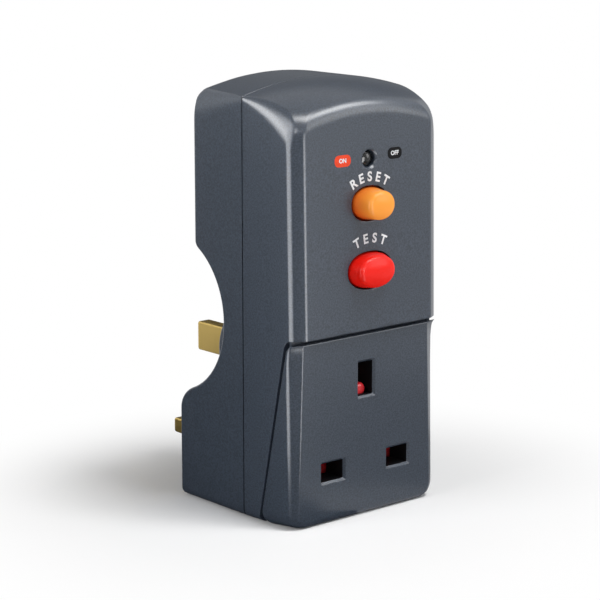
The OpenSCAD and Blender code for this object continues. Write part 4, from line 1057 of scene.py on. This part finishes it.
buttonForm = {
    "reset": {
        "node": "reset_button", "body": "reset", "slot": "reset_orange", "middle": resetZ,
        "front": -24.59, "face": (8.7, 7.3), "root": (11.1, 7.9), "edge": 1.2, "dome": 0.35,
        "flange": (13.0, 9.8), "stem": 2.6,
    },
    "test": {
        "node": "test_button", "body": "test", "slot": "test_red", "middle": testZ,
        "front": -23.41, "face": (11.9, 8.3), "root": (14.2, 8.9), "edge": 1.4, "dome": 0.45,
        "flange": (15.6, 10.6), "stem": 2.2,
    },
}
flangeDepth = (-16.47, -14.97)


def makeButton(name):
    form = buttonForm[name]
    low, high = nodeBox(form["node"])
    z, front, edge, dome = form["middle"], max(form["front"], low[1]), form["edge"], form["dome"]
    face, root, flange = (np.array(form[key]) for key in ("face", "root", "flange"))
    domeSteps = (0.12, 0.3, 0.5, 0.7, 0.85, 0.95, 1.0)
    profile = [(front + dome * t * t, (face - 2 * edge) * t) for t in domeSteps]
    for a in np.radians(np.linspace(12, 84, 7)):
        profile.append((front + dome + edge * (1 - math.cos(a)), face - 2 * edge * (1 - math.sin(a))))
    start = front + dome + edge
    finish = faceY(z) - 0.3
    for t in np.linspace(0.1, 1, 10):
        profile.append((start + (finish - start) * t, face + (root - face) * (0.65 * t + 0.35 * t * t)))
    flangeY, stemY = flangeDepth
    profile += [(flangeY, root), (flangeY, flange), (stemY, flange)]
    rings = [flatRing(oval(*size, 0, z, 2.1), y) for y, size in profile]
    rings += steppedBar([(stemY, form["stem"]), (high[1], form["stem"])], 0, z, 64)
    button = makeSolid(name + "Button", [rings])
    smoothShade(button, 40)
    dress(button, form["body"], form["slot"], form["node"])


for name in buttonForm:
    makeButton(name)


# Shutter: its bar closes the line apertures and its nose shows in the earth one

shutterForm = {
    "bar": ((-16.2, -11.0, 10.0), (16.2, -9.4, 17.15)),
    "stem": ((-4.0, -11.4, 12.0), (4.0, -9.4, 37.5)),
    "window": ((-1.9, -13.0, 17.45), (1.9, -8.0, 28.93)),
    "nose": (4.2, 30.53, 1.55),    # width, foot and round
    "steps": [    # y, top and draw-in of the nose's outline
        (-15.9, 33.9, 0.9), (-15.84, 33.9, 0.6), (-15.7, 33.9, 0.34), (-15.4, 33.9, 0.1),
        (-15.0, 33.9, 0.0), (-13.6, 33.9, 0.0), (-13.0, 34.3, 0.0), (-10.6, 37.5, 0.0), (-9.4, 37.5, 0.0),
    ],
    "edge": 0.25,
}


def makeShutter():
    shutter = makeSolid("shutterPlate", [blockRings(*shutterForm["bar"])])
    carve(shutter, "shutterStem", [blockRings(*shutterForm["stem"])], "UNION")
    carve(shutter, "springWindow", [blockRings(*shutterForm["window"])])
    softenEdges(shutter, lambda e: sharper(e, 50), shutterForm["edge"])
    width, foot, r = shutterForm["nose"]
    rings = []
    for y, top, draw in shutterForm["steps"]:
        outline = roundRect(width - 2 * draw, top - foot - 2 * draw, r - draw, 0, (top + foot) / 2, 8)
        rings.append(flatRing(outline, y))
    carve(shutter, "shutterNose", [rings], "UNION")
    tidyMesh(shutter)
    smoothShade(shutter, 40)
    dress(shutter, "shutter", "shutter_red", "shutter")


makeShutter()


# Status window

windowForm = {"radius": 2.1, "recess": 0.5, "dome": 0.9, "flangeRadius": 3.4, "flange": 0.7}


def makeWindow():
    r, flange, inside = windowForm["radius"], windowForm["flangeRadius"], frontForm["innerFace"]
    front = faceY(windowZ) + windowForm["recess"]
    profile = [(front + windowForm["dome"] * t * t, r * t) for t in (0.1, 0.3, 0.5, 0.7, 0.85, 1.0)]
    profile += [(inside, r), (inside, flange), (inside + windowForm["flange"], flange)]
    lens = makeSolid("statusWindow", [steppedBar(profile, 0, windowZ, 48)])
    smoothShade(lens, 40)
    dress(lens, "case", "lens_clear", "status_window")


makeWindow()


# Pins and sleeves

bladeForm = {
    "edge": 0.45,    # round along a blade
    "tip": 1.1,    # round at its end
    "flange": (21.75, 23.75),
    "earthEnd": 48.65,
    "earthTail": (6.0, 3.2, 5.0),    # start, width and height
    "lineEnd": 43.65,
    "lineTail": (20.8, 4.0, 3.0),
    "sleeveEnd": 35.15,
    "sleeve": 0.5,
}


def bladeRings(steps, x, z):
    return [flatRing(roundRect(w, h, bladeForm["edge"], x, z), y) for y, w, h in steps]


def tipRings(w, h, end, x, z):    # rounded end of a blade
    r, tip = bladeForm["edge"], bladeForm["tip"]
    rings = []
    for a in np.radians(np.linspace(0, 90, 7)):
        draw = tip * (1 - math.cos(a))
        rings.append(flatRing(roundRect(w - 2 * draw, h - 2 * draw, r + 0.5 * draw, x, z),
                              end - tip * (1 - math.sin(a))))
    return rings


def flangeSteps(tail, w, h):    # tail and flange inside the case
    start, tailW, tailH = tail
    y0, y1 = bladeForm["flange"]
    return [(start, tailW, tailH), (y0, tailW, tailH), (y0, w, h), (y1, w, h)]


def makePin(name, node, rings):
    pin = makeSolid(name, [rings])
    smoothShade(pin)
    dress(pin, "case", "pin_brass", node)


def makeEarthPin():
    w, h = pinForm["earthSize"]
    z = pinForm["earthZ"]
    steps = flangeSteps(bladeForm["earthTail"], w + 3, h + 3) + [(bladeForm["flange"][1], w, h)]
    makePin("earthPin", "earth_pin", bladeRings(steps, 0, z) + tipRings(w, h, bladeForm["earthEnd"], 0, z))


def makeLinePin(name, node, x):
    w, h = pinForm["lineSize"]
    z, thin, end = pinForm["lowZ"], 2 * bladeForm["sleeve"], bladeForm["sleeveEnd"]
    steps = flangeSteps(bladeForm["lineTail"], w + 2, h + 3) + [
        (bladeForm["flange"][1], w - thin, h - thin), (end, w - thin, h - thin),
        (end, w - 0.1, h - 0.1), (end + 0.1, w, h),
    ]
    makePin(name, node, bladeRings(steps, x, z) + tipRings(w, h, bladeForm["lineEnd"], x, z))


def makeSleeve(name, node, x):
    w, h = pinForm["lineSize"]
    thin = 2 * bladeForm["sleeve"] - 0.1
    start, end = bladeForm["flange"][1], bladeForm["sleeveEnd"]
    steps = [(start, w, h), (end - 0.15, w, h), (end, w - 0.2, h - 0.2), (end, w - thin, h - thin),
             (start, w - thin, h - thin)]
    sleeve = makeSolid(name, [bladeRings(steps, x, pinForm["lowZ"])], looped=True)
    smoothShade(sleeve)
    dress(sleeve, "case", "sleeve_black", node)


makeEarthPin()
for side, x in (("live", pinForm["pitch"]), ("neutral", -pinForm["pitch"])):
    makeLinePin(side + "Pin", side + "_pin", x)
    makeSleeve(side + "Sleeve", side + "_sleeve", x)


# Springs: coils along each spring's box

springForm = {    # top: the high end is fixed; left: length at the joint's limit; places: x of each coil
    "resetSpring": {
        "node": "reset_spring", "joint": "reset_press", "axis": 1, "top": True, "left": 2.77,
        "wire": 0.3, "turns": 4, "places": [0.0],
    },
    "testSpring": {
        "node": "test_spring", "joint": "test_press", "axis": 1, "top": True, "left": 3.77,
        "wire": 0.3, "turns": 4, "places": [0.0],
    },
    "shutterSpring": {
        "node": "shutter_spring", "joint": "shutter_slide", "axis": 2, "top": False, "left": 4.18,
        "wire": 0.12, "turns": 14, "places": [0.0],
    },
    "carriageSprings": {
        "node": "carriage_springs", "joint": "reset_press", "axis": 1, "top": True, "left": 2.2,
        "wire": 0.24, "turns": 4, "places": [-4.5, 4.5],
    },
    "plungerSpring": {
        "node": "plunger_spring", "joint": "plunger_slide", "axis": 0, "top": False, "left": 4.5,
        "wire": 0.25, "turns": 6, "places": [-1.0],
    },
}


def coilRings(middle, axis, low, high, radius, wire, turns, stepsPerTurn=28, wireSides=10):
    a = np.linspace(0, 2 * math.pi * turns, stepsPerTurn * turns + 1)
    along = np.linspace(low + wire, high - wire, len(a))
    across, other, up = np.eye(3)[[(axis + 1) % 3, (axis + 2) % 3, axis]]
    rings = []
    for angle, reach in zip(a, along):
        out = math.cos(angle) * across + math.sin(angle) * other
        centre = middle + out * (radius - wire)
        centre[axis] = reach
        rings.append(np.array([centre + wire * (math.cos(b) * out + math.sin(b) * up)
                               for b in np.linspace(0, 2 * math.pi, wireSides, endpoint=False)]))
    return rings


def makeSpring(name):
    form = springForm[name]
    node, axis = form["node"], form["axis"]
    low, high = nodeBox(node)
    across = (axis + 1) % 3
    radius = (high[across] - low[across]) / 2
    middle = (low + high) / 2
    coils = [np.array([x, *middle[1:]]) for x in form["places"]]
    spring = makeSolid(name, [
        coilRings(coil, axis, low[axis], high[axis], radius, form["wire"], form["turns"]) for coil in coils
    ])
    smoothShade(spring, 60)
    dress(spring, "case", slotOf[node], node)
    anchor = middle.copy()
    anchor[axis] = high[axis] if form["top"] else low[axis]
    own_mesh(spring)


for name in springForm:
    makeSpring(name)


# Printed state marks beside the window, and the buttons' words on arcs over them

markForm = {
    "onMark": {"word": "ON", "x": -8.9, "z": 91.7, "size": (5.3, 2.9), "colour": (0.8, 0.07, 0.025)},
    "offMark": {"word": "OFF", "x": 8.5, "z": 92.2, "size": (4.8, 2.9), "colour": (0.004, 0.004, 0.005)},
}
arcForm = {
    "resetWord": {"word": "RESET", "hub": 76.1, "radius": 10.9, "pitch": 2.8},
    "testWord": {"word": "TEST", "hub": 60.3, "radius": 11.3, "pitch": 3.0},
}
printForm = {
    "thick": 0.03, "sunk": 0.05, "round": 1.3, "small": 1.5, "letter": 3.3, "bold": 0.03,
    "ink": (0.75, 0.77, 0.79),
}
inkFinish = mouldedPlastic("whiteInk", printForm["ink"], (0.4, 0.5), 1500.0, 0.05, 0.05, 0.2)


def ontoFace(obj, proud):    # lays flat (x, z) mesh points on the leaning face
    for v in obj.data.vertices:
        v.co.y = faceY(v.co.z / mm) * mm - (proud * mm + v.co.y)


def printWord(name, letters):    # letters, each with its text, x, z, turn and size
    word = bmesh.new()
    for text, x, z, turn, size in letters:
        curve = bpy.data.curves.new(name, "FONT")
        curve.body = text
        curve.size = size * mm
        curve.align_x = "CENTER"
        curve.align_y = "CENTER"
        curve.extrude = printForm["thick"] / 2 * mm
        curve.offset = printForm["bold"] * size * mm
        glyph = bpy.data.objects.new(name, curve)
        linkIn(glyph)
        bpy.context.view_layer.update()
        mesh = finalMesh(glyph)
        bpy.data.objects.remove(glyph)
        mesh.transform(Matrix.Translation((x * mm, 0, z * mm)) @ Matrix.Rotation(turn, 4, "Y")
                       @ Matrix.Rotation(math.radians(90), 4, "X"))
        word.from_mesh(mesh)
        bpy.data.meshes.remove(mesh)
    mesh = bpy.data.meshes.new(name)
    word.to_mesh(mesh)
    word.free()
    obj = bpy.data.objects.new(name, mesh)
    linkIn(obj)
    ontoFace(obj, printForm["thick"] + 0.01)
    tidyMesh(obj, 1e-7)
    dress(obj, "case", "case_plastic", finish=inkFinish)


def makeMark(name):
    form = markForm[name]
    outline = roundRect(*form["size"], printForm["round"], form["x"], form["z"], 8)
    pill = makeSolid(name, [[flatRing(outline, -printForm["sunk"]), flatRing(outline, printForm["thick"])]])
    ontoFace(pill, 0.0)
    tidyMesh(pill)
    ink = mouldedPlastic(name + "Ink", form["colour"], (0.36, 0.46), 1500.0, 0.05, 0.06, 0.08)
    dress(pill, "case", "case_plastic", finish=ink)
    printWord(name + "Word", [(form["word"], form["x"], form["z"], 0.0, printForm["small"])])


def makeArcWord(name):
    form = arcForm[name]
    letters = []
    for i, letter in enumerate(form["word"]):
        a = (i - (len(form["word"]) - 1) / 2) * form["pitch"] / form["radius"]
        x, z = form["radius"] * math.sin(a), form["hub"] + form["radius"] * math.cos(a)
        letters.append((letter, x, z, a, printForm["letter"]))
    printWord(name, letters)


for name in markForm:
    makeMark(name)
for name in arcForm:
    makeArcWord(name)
